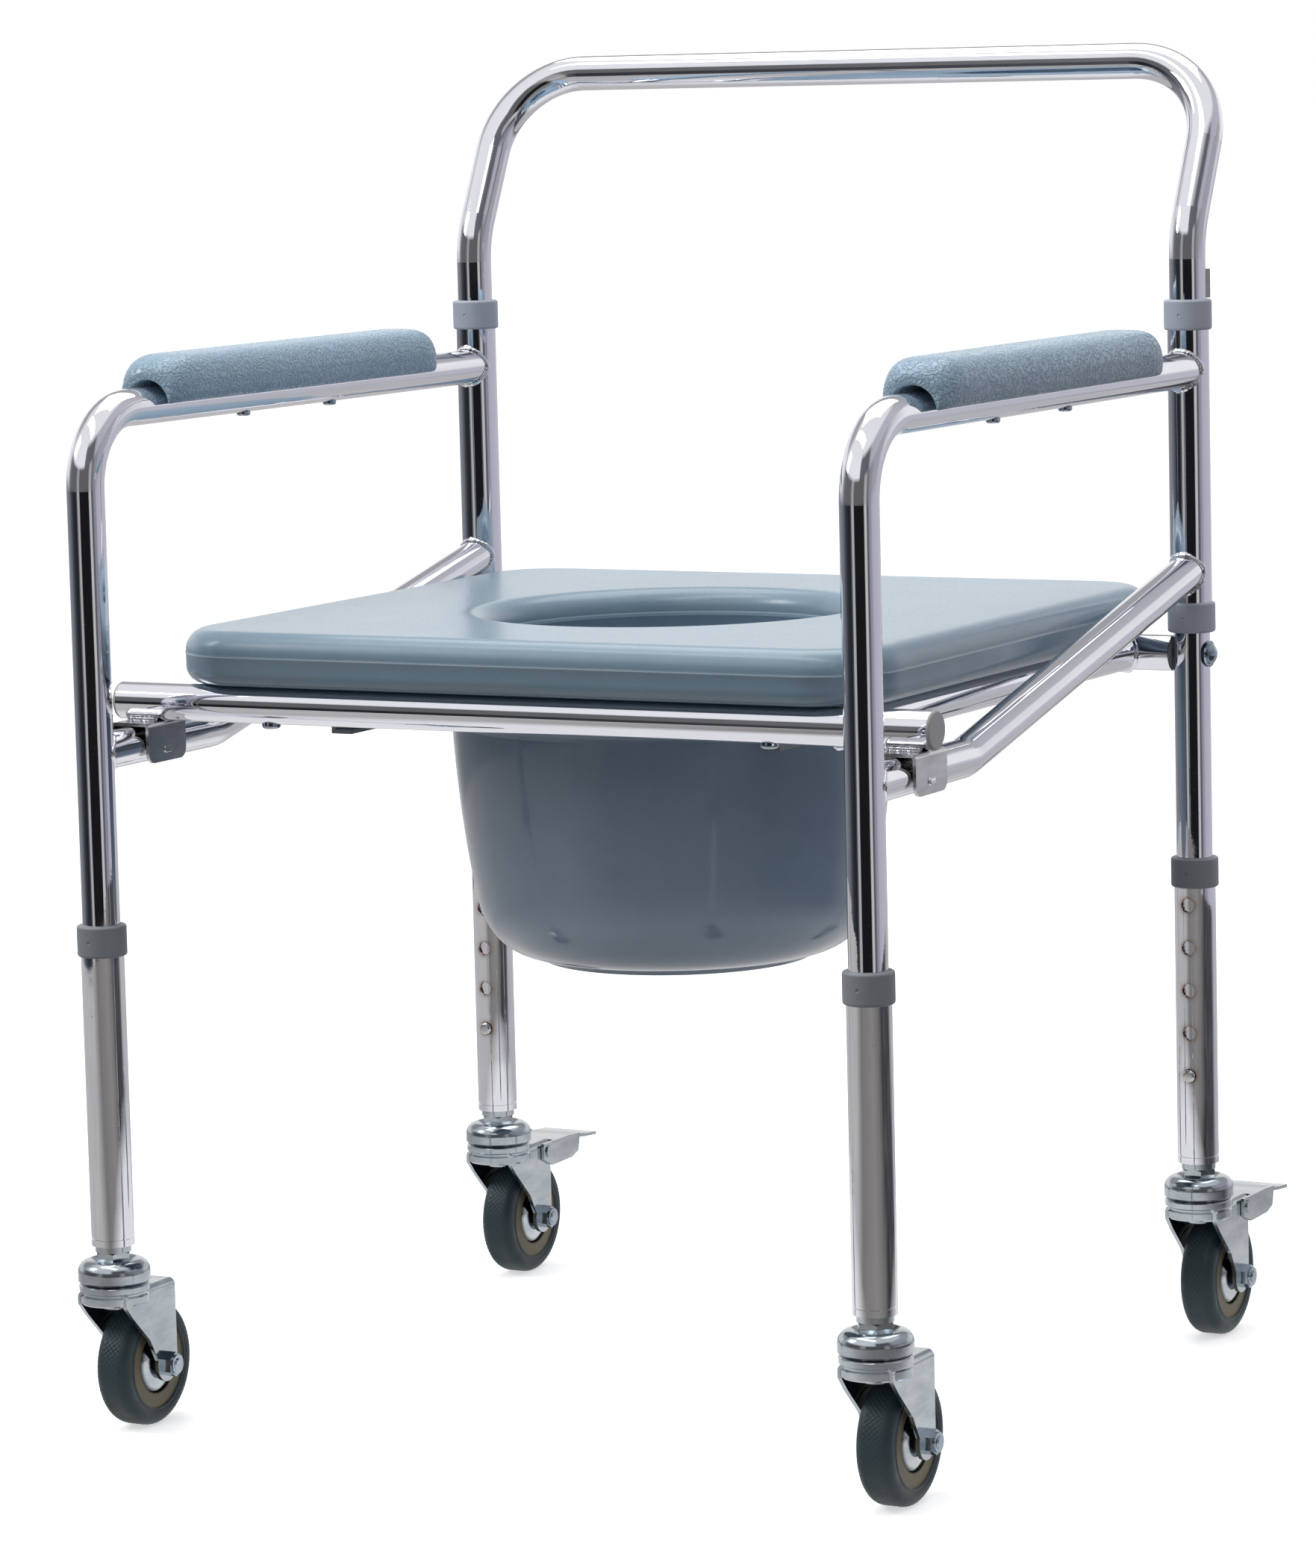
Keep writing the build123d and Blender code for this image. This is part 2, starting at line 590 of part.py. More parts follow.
def castor_mount(x, y):
    """Stem with its tube plug, hexagon nut and domed bearing cup, as separate solids."""
    plug = upright(x, y, LEG_BOTTOM_Z, LEG_BOTTOM_Z + 22, SLEEVE_BORE_R)
    plug += upright(x, y, NUT_TOP_Z, LEG_BOTTOM_Z, 10.6)
    plug += upright(x, y, RACE_BOTTOM_Z - 1, NUT_TOP_Z, STEM_R)
    plug += upright(x, y, RACE_BOTTOM_Z - 3.5, RACE_BOTTOM_Z - 0.5, 7.5)
    nut = Pos(x, y, NUT_BOTTOM_Z) * hexagon(NUT_ACROSS_FLATS, NUT_TOP_Z - NUT_BOTTOM_Z)
    nut &= turned(
        (
            (0, NUT_BOTTOM_Z),
            (10.9, NUT_BOTTOM_Z),
            (10.9, NUT_TOP_Z - 0.8),
            (9.3, NUT_TOP_Z),
            (0, NUT_TOP_Z),
        ),
        x,
        y,
    )
    nut -= upright(x, y, NUT_BOTTOM_Z, NUT_TOP_Z, STEM_R)
    return [plug, nut, bearing_cup(x, y)]


def bearing_cup(x, y):
    crown_r = 14.0
    outline = Curve() + [
        Line((STEM_R, CUP_BOTTOM_Z), (CUP_R - 1.2, CUP_BOTTOM_Z)),
        Line((CUP_R - 1.2, CUP_BOTTOM_Z), (CUP_R, CUP_BOTTOM_Z + 1.2)),
        Line((CUP_R, CUP_BOTTOM_Z + 1.2), (CUP_R, CUP_TOP_Z - 7.4)),
        RadiusArc((CUP_R, CUP_TOP_Z - 7.4), (crown_r, CUP_TOP_Z), -7.4),
        Line((crown_r, CUP_TOP_Z), (11.2, NUT_BOTTOM_Z)),
        Line((11.2, NUT_BOTTOM_Z), (STEM_R, NUT_BOTTOM_Z)),
        Line((STEM_R, NUT_BOTTOM_Z), (STEM_R, CUP_BOTTOM_Z)),
    ]
    return Pos(x, y, 0) * revolve(Plane.XZ * make_face(outline), Axis.Z)


def build_legs():
    for place, x, y, facing in LEGS:
        save(f"leg_tube_{place}", leg_tube(x, y, facing))
        save(f"leg_collar_{place}", collar(x, y, COLLAR_TOP_Z, 1, COLLAR_RUNNING_R))
        save(f"snap_button_{place}", snap_button(x, y, facing))
        save(f"castor_mount_{place}", group(castor_mount(x, y)))


# Castors -------------------------------------------------------------------------------------


def fork_side_outline():
    """Side view of the fork, about the stem: wide at the crown, round at the axle."""
    axle = (CASTOR_TRAIL, WHEEL_R)
    rear = CASTOR_TRAIL + FORK_BOSS_R
    lean = math.radians(20)
    front = (axle[0] - FORK_BOSS_R * math.cos(lean), axle[1] + FORK_BOSS_R * math.sin(lean))
    shoulder = (FORK_FRONT + 7, RACE_BOTTOM_Z - 8)
    waist = (front[0] - 8, front[1] + 14)
    return Curve() + [
        Line((FORK_FRONT, FORK_TOP_Z), (rear, FORK_TOP_Z)),
        Line((rear, FORK_TOP_Z), (rear, WHEEL_R)),
        ThreePointArc((rear, WHEEL_R), (axle[0], axle[1] - FORK_BOSS_R), front),
        Line(front, waist),
        Line(waist, shoulder),
        Line(shoulder, (FORK_FRONT, RACE_BOTTOM_Z)),
        Line((FORK_FRONT, RACE_BOTTOM_Z), (FORK_FRONT, FORK_TOP_Z)),
    ]


def fork(x, y, braked):
    """Bent plate fork with the lower bearing race pressed into its crown."""
    side = extrude(Plane.YZ * make_face(fork_side_outline()), 2 * FORK_OUTER_X, both=True)
    shell = Box(2 * FORK_OUTER_X, 4 * CUP_R, 2 * FORK_TOP_Z)
    shell = fillet(shell.edges().filter_by(Axis.Y).group_by(Axis.Z)[-1], 4.0)
    inner_x = FORK_OUTER_X - FORK_PLATE
    hollow = Box(2 * inner_x, 5 * CUP_R, 2 * (FORK_TOP_Z - FORK_PLATE))
    hollow = fillet(hollow.edges().filter_by(Axis.Y).group_by(Axis.Z)[-1], 1.5)
    plates = (shell - hollow) & side
    race = turned(
        (
            (0, RACE_BOTTOM_Z),
            (19.6, RACE_BOTTOM_Z),
            (20.6, RACE_BOTTOM_Z + 1.0),
            (20.6, RACE_BOTTOM_Z + 4.8),
            (19.4, RACE_BOTTOM_Z + 5.8),
            (19.4, RACE_BOTTOM_Z + 6.8),
            (20.9, RACE_BOTTOM_Z + 7.8),
            (20.9, RACE_TOP_Z - 0.9),
            (20.0, RACE_TOP_Z),
            (0, RACE_TOP_Z),
        ),
        0,
        0,
    )
    body = plates + race
    body -= upright(0, 0, RACE_BOTTOM_Z - 1, RACE_TOP_Z + 1, STEM_R + RUNNING_GAP)
    body -= across(-FAR, FAR, CASTOR_TRAIL, WHEEL_R, AXLE_R)
    if braked:
        body -= across(-FAR, FAR, PEDAL_PIVOT_Y, PEDAL_PIVOT_Z, PEDAL_PIN_R + RUNNING_GAP)
    return Pos(x, y, 0) * body


def axle_bolt(x, y):
    """Bolt with its washer and head on one side, and the locking nut as a separate solid."""
    head_start = -(FORK_OUTER_X + AXLE_WASHER)
    bolt = across(-FORK_OUTER_X, AXLE_END_X, CASTOR_TRAIL, WHEEL_R, AXLE_R)
    bolt = chamfer(bolt.edges().group_by(Axis.X)[-1], 0.8)
    bolt += across(head_start, -FORK_OUTER_X, CASTOR_TRAIL, WHEEL_R, AXLE_WASHER_R)
    head = Rot(0, 90, 0) * hexagon(AXLE_NUT_ACROSS_FLATS, AXLE_HEAD)
    bolt += Pos(head_start - AXLE_HEAD, CASTOR_TRAIL, WHEEL_R) * head
    nut = Rot(0, 90, 0) * hexagon(AXLE_NUT_ACROSS_FLATS, AXLE_NUT)
    nut = Pos(FORK_OUTER_X, CASTOR_TRAIL, WHEEL_R) * nut
    ring_start = FORK_OUTER_X + AXLE_NUT
    nut += across(ring_start, ring_start + AXLE_NUT_RING, CASTOR_TRAIL, WHEEL_R, AXLE_NUT_RING_R)
    nut -= across(FORK_OUTER_X, AXLE_END_X, CASTOR_TRAIL, WHEEL_R, AXLE_R)
    return [Pos(x, y, 0) * bolt, Pos(x, y, 0) * nut]


def wheel_solid(profile, x, y):
    """A solid of revolution about the axle, from (distance along the axle, radius) points."""
    outline = make_face(Polyline(*profile, close=True))
    solid = revolve(Plane.XY * outline, Axis.X)
    return Pos(x, y + CASTOR_TRAIL, WHEEL_R) * solid


def tyre(x, y):
    half = WHEEL_WIDTH / 2
    ring = Rot(0, 90, 0) * Cylinder(WHEEL_R, WHEEL_WIDTH)
    ring = fillet(ring.edges().filter_by(GeomType.CIRCLE), 6.0)
    ring -= Rot(0, 90, 0) * Cylinder(TYRE_BORE_R, 2 * half)
    return Pos(x, y + CASTOR_TRAIL, WHEEL_R) * ring


def wheel_core(x, y):
    """Rim, web and hub, turning on the axle bolt."""
    half = WHEEL_WIDTH / 2
    bore = AXLE_R + RUNNING_GAP
    side = (
        (half - 1.2, TYRE_BORE_R),
        (half - 1.2, HUB_COVER_R),
        (half - 4.0, HUB_COVER_R),
        (half - 4.0, HUB_R),
        (HUB_HALF_LENGTH, HUB_R),
        (HUB_HALF_LENGTH, bore),
    )
    profile = side + tuple((-along, radius) for along, radius in reversed(side))
    return wheel_solid(profile, x, y)


def hub_cover(x, y, sign):
    """Domed metal cover pressed onto the side of the core."""
    low = WHEEL_WIDTH / 2 - 4.0
    outline = Curve() + [
        Line((low, HUB_R), (low, HUB_COVER_R)),
        Line((low, HUB_COVER_R), (low + 1.4, HUB_COVER_R)),
        RadiusArc((low + 1.4, HUB_COVER_R), (low + 5.6, HUB_R), 26.0),
        Line((low + 5.6, HUB_R), (low, HUB_R)),
    ]
    cover = revolve(Plane.XY * make_face(outline), Axis.X)
    if sign < 0:
        cover = mirror(cover, about=Plane.YZ)
    return Pos(x, y + CASTOR_TRAIL, WHEEL_R) * cover


def brake_pedal(x, y):
    """Foot lever on the fork with its shoe over the tyre, and its pivot rivet."""
    inner_x = FORK_OUTER_X + 0.4
    outer_x = inner_x + PEDAL_PLATE
    top = PEDAL_TOP_Z
    lip = PEDAL_LIP_Z
    side = make_face(
        Polyline(
            (26, top),
            (26, 76),
            (38, 70.5),
            (64, 71.0),
            (73, 74.0),
            (76, top - 1.0),
            (62, top),
            close=True,
        )
    )
    cheeks = extrude(Plane.YZ * side, outer_x, both=True)
    cheeks -= Box(2 * inner_x, 2 * FAR, 2 * FAR)
    plate = make_face(
        Polyline(
            (42, top),
            (62, top),
            (84, lip + 1.2),
            (PEDAL_REACH, lip),
            (PEDAL_REACH, lip - PEDAL_PLATE),
            (83, lip - 0.8),
            (62, top - PEDAL_PLATE),
            (42, top - PEDAL_PLATE),
            close=True,
        )
    )
    pedal = cheeks + extrude(Plane.YZ * plate, outer_x, both=True)
    shoe = make_face(
        Polyline((54, top - 1), (54, 69.5), (57.5, 66.5), (60, 68), (60, top - 1), close=True)
    )
    pedal += extrude(Plane.YZ * shoe, SHOE_HALF_WIDTH, both=True)
    pin = across(-outer_x, outer_x, PEDAL_PIVOT_Y, PEDAL_PIVOT_Z, PEDAL_PIN_R)
    pedal -= pin
    for sign in (-1, 1):
        start, end = sorted((sign * outer_x, sign * (outer_x + 1.0)))
        pin += across(start, end, PEDAL_PIVOT_Y, PEDAL_PIVOT_Z, 4.2)
    return [Pos(x, y, 0) * pedal, Pos(x, y, 0) * pin]


def build_castors():
    for place, x, y, _ in LEGS:
        braked = place.startswith("rear")
        save(f"fork_{place}", fork(x, y, braked))
        save(f"axle_bolt_{place}", group(axle_bolt(x, y)))
        save(f"tyre_{place}", tyre(x, y))
        save(f"wheel_core_{place}", wheel_core(x, y))
        save(f"hub_covers_{place}", group(hub_cover(x, y, sign) for sign in (-1, 1)))
        if braked:
            save(f"brake_pedal_{place}", group(brake_pedal(x, y)))


os.makedirs("parts", exist_ok=True)
build_frame()
build_seat()
build_legs()
build_castors()
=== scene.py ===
import math
import random

import bmesh
import bpy
import numpy as np
from mathutils import Matrix, Vector


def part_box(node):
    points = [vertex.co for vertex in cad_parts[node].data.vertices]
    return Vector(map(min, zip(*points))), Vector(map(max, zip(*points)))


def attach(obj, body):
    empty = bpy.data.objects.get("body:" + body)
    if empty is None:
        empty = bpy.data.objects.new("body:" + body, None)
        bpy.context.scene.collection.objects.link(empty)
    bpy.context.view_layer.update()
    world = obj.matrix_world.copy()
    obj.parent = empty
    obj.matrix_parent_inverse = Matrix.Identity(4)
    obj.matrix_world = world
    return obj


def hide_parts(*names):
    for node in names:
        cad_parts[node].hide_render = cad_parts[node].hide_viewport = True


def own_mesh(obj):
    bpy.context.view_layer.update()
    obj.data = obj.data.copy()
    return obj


# Looks for the commode chair. Metres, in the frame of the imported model: +X to the right of the
# chair as seen from the front, +Y towards its back, +Z up, the floor at Z = 0.

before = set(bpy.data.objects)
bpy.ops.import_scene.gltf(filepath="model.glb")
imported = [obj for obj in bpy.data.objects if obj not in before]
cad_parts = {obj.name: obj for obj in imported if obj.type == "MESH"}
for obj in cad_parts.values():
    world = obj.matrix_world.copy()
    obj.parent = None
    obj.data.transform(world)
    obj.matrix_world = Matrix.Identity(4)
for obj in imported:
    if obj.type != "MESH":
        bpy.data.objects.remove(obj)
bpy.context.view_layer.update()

SIDES = (("left", -1), ("right", 1))
CASTORS = tuple(f"{end}_{side}" for end in ("front", "rear") for side, _ in SIDES)
SEED = 7

# Outer radii of the frame tube and of the tubes that sleeve it
TUBE_R = 0.0111
SLEEVE_R = 0.0127

# The row of holes in each leg: the lowest one holds the snap button
HOLE_Z = 0.1695
HOLE_PITCH = 0.0265
HOLE_COUNT = 5


def middle(node):
    low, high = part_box(node)
    return (low + high) / 2


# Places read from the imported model
FRONT_Y = middle("leg_tube_front_right").y
REAR_Y = middle("leg_tube_rear_right").y
LEG_X = middle("leg_tube_front_right").x
CROSS_Y = middle("front_cross_tube").y
CROSS_Z = middle("front_cross_tube").z
SIDE_TUBE_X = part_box("seat_side_tubes")[1].x - TUBE_R
ARM_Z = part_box("arm_tube_right")[1].z - TUBE_R
RAIL_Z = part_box("side_rail_right")[0].z + TUBE_R


# Camera and light ------------------------------------------------------------------------------

AZIMUTH = math.radians(28.15)
ELEVATION = math.radians(7.18)
ROLL = math.radians(-1.4)
CAMERA_PLACE = Vector((1.5929, -3.0148, 0.8027))
LENS = 130.64
SHIFT = (-0.0006, -0.0098)


def make_camera():
    ahead = Vector(
        (
            -math.sin(AZIMUTH) * math.cos(ELEVATION),
            math.cos(AZIMUTH) * math.cos(ELEVATION),
            -math.sin(ELEVATION),
        )
    )
    level = Vector((math.cos(AZIMUTH), math.sin(AZIMUTH), 0))
    above = level.cross(ahead)
    right = level * math.cos(ROLL) + above * math.sin(ROLL)
    up = above * math.cos(ROLL) - level * math.sin(ROLL)
    data = bpy.data.cameras.new("camera")
    data.lens = LENS
    data.sensor_width = 36
    data.shift_x, data.shift_y = SHIFT
    data.clip_start, data.clip_end = 0.1, 100
    camera = bpy.data.objects.new("camera", data)
    bpy.context.scene.collection.objects.link(camera)
    turn = Matrix((right, up, -ahead)).transposed()
    camera.matrix_world = Matrix.Translation(CAMERA_PLACE) @ turn.to_4x4()
    bpy.context.scene.camera = camera


def area_light(name, place, target, size, power, color=(1, 1, 1), glossy=True):
    data = bpy.data.lights.new(name, "AREA")
    data.shape = "RECTANGLE"
    data.size, data.size_y = size
    data.energy = power
    data.color = color
    lamp = bpy.data.objects.new(name, data)
    lamp.location = place
    lamp.visible_glossy = glossy
    lamp.rotation_euler = (Vector(target) - Vector(place)).to_track_quat("-Z", "Y").to_euler()
    bpy.context.scene.collection.objects.link(lamp)


# Node trees ------------------------------------------------------------------------------------


class Tree:
    """A short way to build a node tree."""

    def __init__(self, tree):
        self.tree = tree
        tree.nodes.clear()

    @classmethod
    def wrap(cls, material):
        """Add to the nodes of a finished material."""
        made = cls.__new__(cls)
        made.tree = material.node_tree
        return made

    def add(self, kind, inputs=None, **settings):
        node = self.tree.nodes.new(kind)
        for key, value in settings.items():
            setattr(node, key, value)
        for key, value in (inputs or {}).items():
            self.set(node.inputs[key], value)
        return node

    def set(self, socket, value):
        if isinstance(value, bpy.types.NodeSocket):
            self.tree.links.new(value, socket)
        else:
            socket.default_value = value

    def math(self, operation, a, b=0.0, c=0.0):
        node = self.add("ShaderNodeMath", {0: a, 1: b, 2: c}, operation=operation)
        return node.outputs[0]

    def ramp(self, value, stops, mode="LINEAR"):
        node = self.add("ShaderNodeValToRGB", {0: value})
        node.color_ramp.interpolation = mode
        items = node.color_ramp.elements
        while len(items) < len(stops):
            items.new(0.5)
        for item, (place, color) in zip(items, stops):
            item.position = place
            item.color = (*color, 1) if len(color) == 3 else color
        return node.outputs[0]

    def fade(self, value, low, high, to_low=0.0, to_high=1.0):
        node = self.add(
            "ShaderNodeMapRange", {0: value, 1: low, 2: high, 3: to_low, 4: to_high}
        )
        return node.outputs[0]

    def mix(self, factor, a, b, blend="MIX"):
        node = self.add("ShaderNodeMix", data_type="RGBA", blend_type=blend)
        self.set(node.inputs[0], factor)
        self.set(node.inputs[6], a)
        self.set(node.inputs[7], b)
        return node.outputs[2]

    def noise(self, where, scale, detail=3.0, roughness=0.5, distortion=0.0):
        node = self.add(
            "ShaderNodeTexNoise",
            {"Vector": where, "Scale": scale, "Detail": detail, "Roughness": roughness},
        )
        node.inputs["Distortion"].default_value = distortion
        return node.outputs["Fac"]

    def length(self, a, b):
        """Distance from the origin of a plane, from its two coordinates."""
        squares = self.math("ADD", self.math("POWER", a, 2.0), self.math("POWER", b, 2.0))
        return self.math("SQRT", squares)

    def stretch(self, where, scale):
        node = self.add("ShaderNodeMapping", {"Vector": where, "Scale": scale})
        return node.outputs[0]

    def bump(self, height, distance, strength=1.0, below=None):
        node = self.add(
            "ShaderNodeBump", {"Height": height, "Distance": distance, "Strength": strength}
        )
        if below is not None:
            self.set(node.inputs["Normal"], below)
        return node.outputs[0]


def gray(value):
    return (value, value, value, 1)


def rgb(red, green, blue):
    return (red, green, blue, 1)


def new_material(name):
    material = bpy.data.materials.new(name)
    material.use_nodes = True
    tree = Tree(material.node_tree)
    shader = tree.add("ShaderNodeBsdfPrincipled")
    output = tree.add("ShaderNodeOutputMaterial")
    tree.set(output.inputs["Surface"], shader.outputs[0])
    where = tree.add("ShaderNodeTexCoord").outputs["Object"]
    return material, tree, shader, where


# Brightness of the studio by direction, in degrees from the camera's side, right being positive
WALLS = (
    (-180, (0.70, 0.70, 0.72)),
    (-166, (0.60, 0.60, 0.62)),
    (-150, (0.30, 0.31, 0.33)),
    (-112, (0.20, 0.21, 0.23)),
    (-100, (0.12, 0.13, 0.15)),
    (-84, (0.040, 0.045, 0.055)),
    (-60, (0.015, 0.017, 0.020)),
    (-50, (0.10, 0.10, 0.11)),
    (-46, (0.50, 0.50, 0.49)),
    (-36, (0.50, 0.50, 0.49)),
    (-32, (0.012, 0.012, 0.014)),
    (22, (0.012, 0.012, 0.014)),
    (26, (0.62, 0.61, 0.60)),
    (37, (0.62, 0.61, 0.60)),
    (41, (0.07, 0.075, 0.09)),
    (50, (0.18, 0.18, 0.21)),
    (56, (0.34, 0.34, 0.38)),
    (66, (0.36, 0.36, 0.41)),
    (72, (0.50, 0.49, 0.58)),
    (88, (0.54, 0.53, 0.61)),
    (150, (0.60, 0.60, 0.65)),
    (168, (0.68, 0.68, 0.70)),
    (180, (0.72, 0.72, 0.74)),
)
UPPER_WALLS = (
    (-180, (0.42, 0.42, 0.43)),
    (-125, (0.46, 0.46, 0.48)),
    (-105, (0.95, 0.96, 0.98)),
    (-8, (1.0, 1.0, 1.0)),
    (-2, (0.17, 0.17, 0.19)),
    (40, (0.14, 0.14, 0.16)),
    (52, (0.50, 0.50, 0.56)),
    (112, (0.58, 0.58, 0.63)),
    (150, (0.46, 0.46, 0.48)),
    (180, (0.42, 0.42, 0.43)),
)


def make_world():
    """A studio seen by direction: white behind and above the chair, dark in front of it."""
    world = bpy.data.worlds.new("studio")
    world.use_nodes = True
    bpy.context.scene.world = world
    tree = Tree(world.node_tree)
    direction = tree.add("ShaderNodeTexCoord").outputs["Generated"]
    to_front = (math.sin(AZIMUTH), -math.cos(AZIMUTH), 0)
    to_right = (math.cos(AZIMUTH), math.sin(AZIMUTH), 0)

    def along(axis):
        node = tree.add("ShaderNodeVectorMath", {0: direction, 1: axis}, operation="DOT_PRODUCT")
        return node.outputs["Value"]

    turn = tree.math("ARCTAN2", along(to_right), along(to_front))
    share = tree.fade(turn, -math.pi, math.pi)
    walls = tree.ramp(share, [((d + 180) / 360, c) for d, c in WALLS])
    higher = tree.ramp(share, [((d + 180) / 360, c) for d, c in UPPER_WALLS])
    height = tree.add("ShaderNodeSeparateXYZ", {0: direction}).outputs[2]
    middle_walls = tree.mix(0.45, walls, gray(0.30))
    behind = tree.fade(tree.math("ABSOLUTE", turn), math.radians(100), math.radians(125))
    middle_walls = tree.mix(behind, middle_walls, gray(1.0))
    lower = tree.mix(tree.fade(height, -0.04, 0.04), walls, middle_walls)
    sides = tree.mix(tree.fade(height, 0.34, 0.42), lower, higher)
    ceiling = tree.mix(tree.fade(height, 0.68, 0.78), sides, gray(0.95))
    ground = tree.mix(tree.fade(height, -0.24, -0.34), ceiling, rgb(0.17, 0.17, 0.18))
    seen = tree.add("ShaderNodeLightPath").outputs["Is Camera Ray"]
    background = tree.add("ShaderNodeBackground", {"Color": tree.mix(seen, ground, gray(1.0))})
    output = tree.add("ShaderNodeOutputWorld")
    tree.set(output.inputs[0], background.outputs[0])


def make_floor():
    mesh = bpy.data.meshes.new("floor")
    reach = 60.0
    corners = [(-reach, -reach, 0), (reach, -reach, 0), (reach, reach, 0), (-reach, reach, 0)]
    mesh.from_pydata(corners, [], [(0, 1, 2, 3)])
    floor = bpy.data.objects.new("floor", mesh)
    bpy.context.scene.collection.objects.link(floor)
    material, tree, shader, where = new_material("floor_paper")
    tint = tree.noise(where, 1.5, 2)
    tree.set(shader.inputs["Base Color"], tree.mix(tint, gray(0.80), gray(0.84)))
    shader.inputs["Roughness"].default_value = 0.9
    shader.inputs["Emission Color"].default_value = gray(1.0)
    shader.inputs["Emission Strength"].default_value = 0.55
    mesh.materials.append(material)
    floor.visible_glossy = False
    floor.visible_diffuse = False


# Brightness of the floor by direction, in degrees as for the walls
SHEEN_REACH = 2.1
SHEEN_DROP = 0.002
SHEEN = (
    (-180, (0.62, 0.61, 0.61)),
    (-60, (0.58, 0.57, 0.56)),
    (-34, (0.22, 0.205, 0.19)),
    (12, (0.30, 0.285, 0.27)),
    (34, (0.20, 0.19, 0.18)),
    (50, (0.040, 0.040, 0.042)),
    (92, (0.045, 0.045, 0.050)),
    (108, (0.56, 0.56, 0.58)),
    (180, (0.62, 0.61, 0.61)),
)


def make_floor_sheen():
    """What polished metal sees of the floor round the chair, bright close by."""
    around = 96
    points = [(0, 0, -SHEEN_DROP)]
    for k in range(around):
        a = 2 * math.pi * k / around
        points.append((SHEEN_REACH * math.cos(a), SHEEN_REACH * math.sin(a), -SHEEN_DROP))
    mesh = bpy.data.meshes.new("floor_sheen")
    mesh.from_pydata(points, [], [(0, 1 + k, 1 + (k + 1) % around) for k in range(around)])
    disc = bpy.data.objects.new("floor_sheen", mesh)
    bpy.context.scene.collection.objects.link(disc)
    material, tree, shader, where = new_material("floor_sheen")
    x, y, _ = tree.add("ShaderNodeSeparateXYZ", {0: where}).outputs
    cosine, sine = math.cos(AZIMUTH), math.sin(AZIMUTH)
    across = tree.math("ADD", tree.math("MULTIPLY", x, cosine), tree.math("MULTIPLY", y, sine))
    towards = tree.math("SUBTRACT", tree.math("MULTIPLY", x, sine), tree.math("MULTIPLY", y, cosine))
    turn = tree.math("ARCTAN2", across, towards)
    share = tree.fade(turn, -math.pi, math.pi)
    round_about = tree.ramp(share, [((d + 180) / 360, c) for d, c in SHEEN])
    apart = tree.length(x, y)
    cloud = tree.fade(tree.noise(where, 3.5, 3), 0.3, 0.7, 0.72, 1.0)
    clouded = tree.mix(cloud, gray(0.30), round_about)
    glow = tree.mix(tree.fade(apart, 0.50, 0.80), gray(0.92), clouded)
    shader.inputs["Base Color"].default_value = gray(0.0)
    shader.inputs["Specular IOR Level"].default_value = 0.0
    tree.set(shader.inputs["Emission Color"], glow)
    shader.inputs["Emission Strength"].default_value = 1.0
    mesh.materials.append(material)
    disc.visible_camera = False
    disc.visible_diffuse = False
    disc.visible_shadow = False
    disc.visible_transmission = False


# Materials -------------------------------------------------------------------------------------


def chrome(name="chrome"):
    """Bright plating: slight waviness, polishing haze and a few specks."""
    material, tree, shader, where = new_material(name)
    cloud = tree.noise(where, 14.0, 4)
    haze = tree.noise(where, 55.0, 6, 0.65)
    specks = tree.noise(where, 900.0, 2)
    tint = tree.mix(cloud, rgb(0.80, 0.80, 0.85), rgb(0.70, 0.71, 0.76))
    dust = tree.fade(specks, 0.72, 0.78)
    tree.set(shader.inputs["Base Color"], tree.mix(dust, tint, rgb(0.42, 0.40, 0.38)))
    shader.inputs["Metallic"].default_value = 1.0
    smears = tree.fade(haze, 0.45, 0.75, 0.020, 0.065)
    tree.set(shader.inputs["Roughness"], tree.math("ADD", smears, tree.math("MULTIPLY", dust, 0.3)))
    wave = tree.bump(tree.noise(where, 30.0, 1), 0.0006, 0.25)
    lines = tree.bump(haze, 0.00004, 0.35, wave)
    tree.set(shader.inputs["Normal"], lines)
    return material, tree, shader, where


def leg_chrome():
    """Chrome with the brown halo that plating leaves round the drilled holes."""
    material, tree, shader, where = chrome("chrome_drilled")
    parts = tree.add("ShaderNodeSeparateXYZ", {0: where})
    x, y, z = parts.outputs
    off_x = tree.math("SUBTRACT", tree.math("ABSOLUTE", x), LEG_X)
    up = tree.math("SUBTRACT", z, HOLE_Z - HOLE_PITCH / 2)
    off_z = tree.math("SUBTRACT", tree.math("WRAP", up, HOLE_PITCH, 0.0), HOLE_PITCH / 2)
    apart = tree.length(off_x, off_z)
    wobble = tree.math("MULTIPLY", tree.math("SUBTRACT", tree.noise(where, 260.0, 3), 0.5), 0.003)
    apart = tree.math("ADD", apart, wobble)
    ring = tree.ramp(
        tree.fade(apart, 0.0035, 0.0085),
        ((0.0, gray(0.8)), (0.22, gray(0.55)), (0.5, gray(0.12)), (1.0, gray(0))),
    )
    inner_side = tree.math(
        "MULTIPLY", tree.math("GREATER_THAN", y, FRONT_Y), tree.math("LESS_THAN", y, REAR_Y)
    )
    low = tree.math("GREATER_THAN", z, HOLE_Z - HOLE_PITCH / 2)
    high = tree.math("LESS_THAN", z, HOLE_Z + HOLE_PITCH * (HOLE_COUNT - 0.5))
    there = tree.math("MULTIPLY", inner_side, tree.math("MULTIPLY", low, high))
    halo = tree.math("MULTIPLY", ring, there)
    plain = shader.inputs["Base Color"].links[0].from_socket
    tree.set(shader.inputs["Base Color"], tree.mix(halo, plain, rgb(0.36, 0.20, 0.11)))
    return material


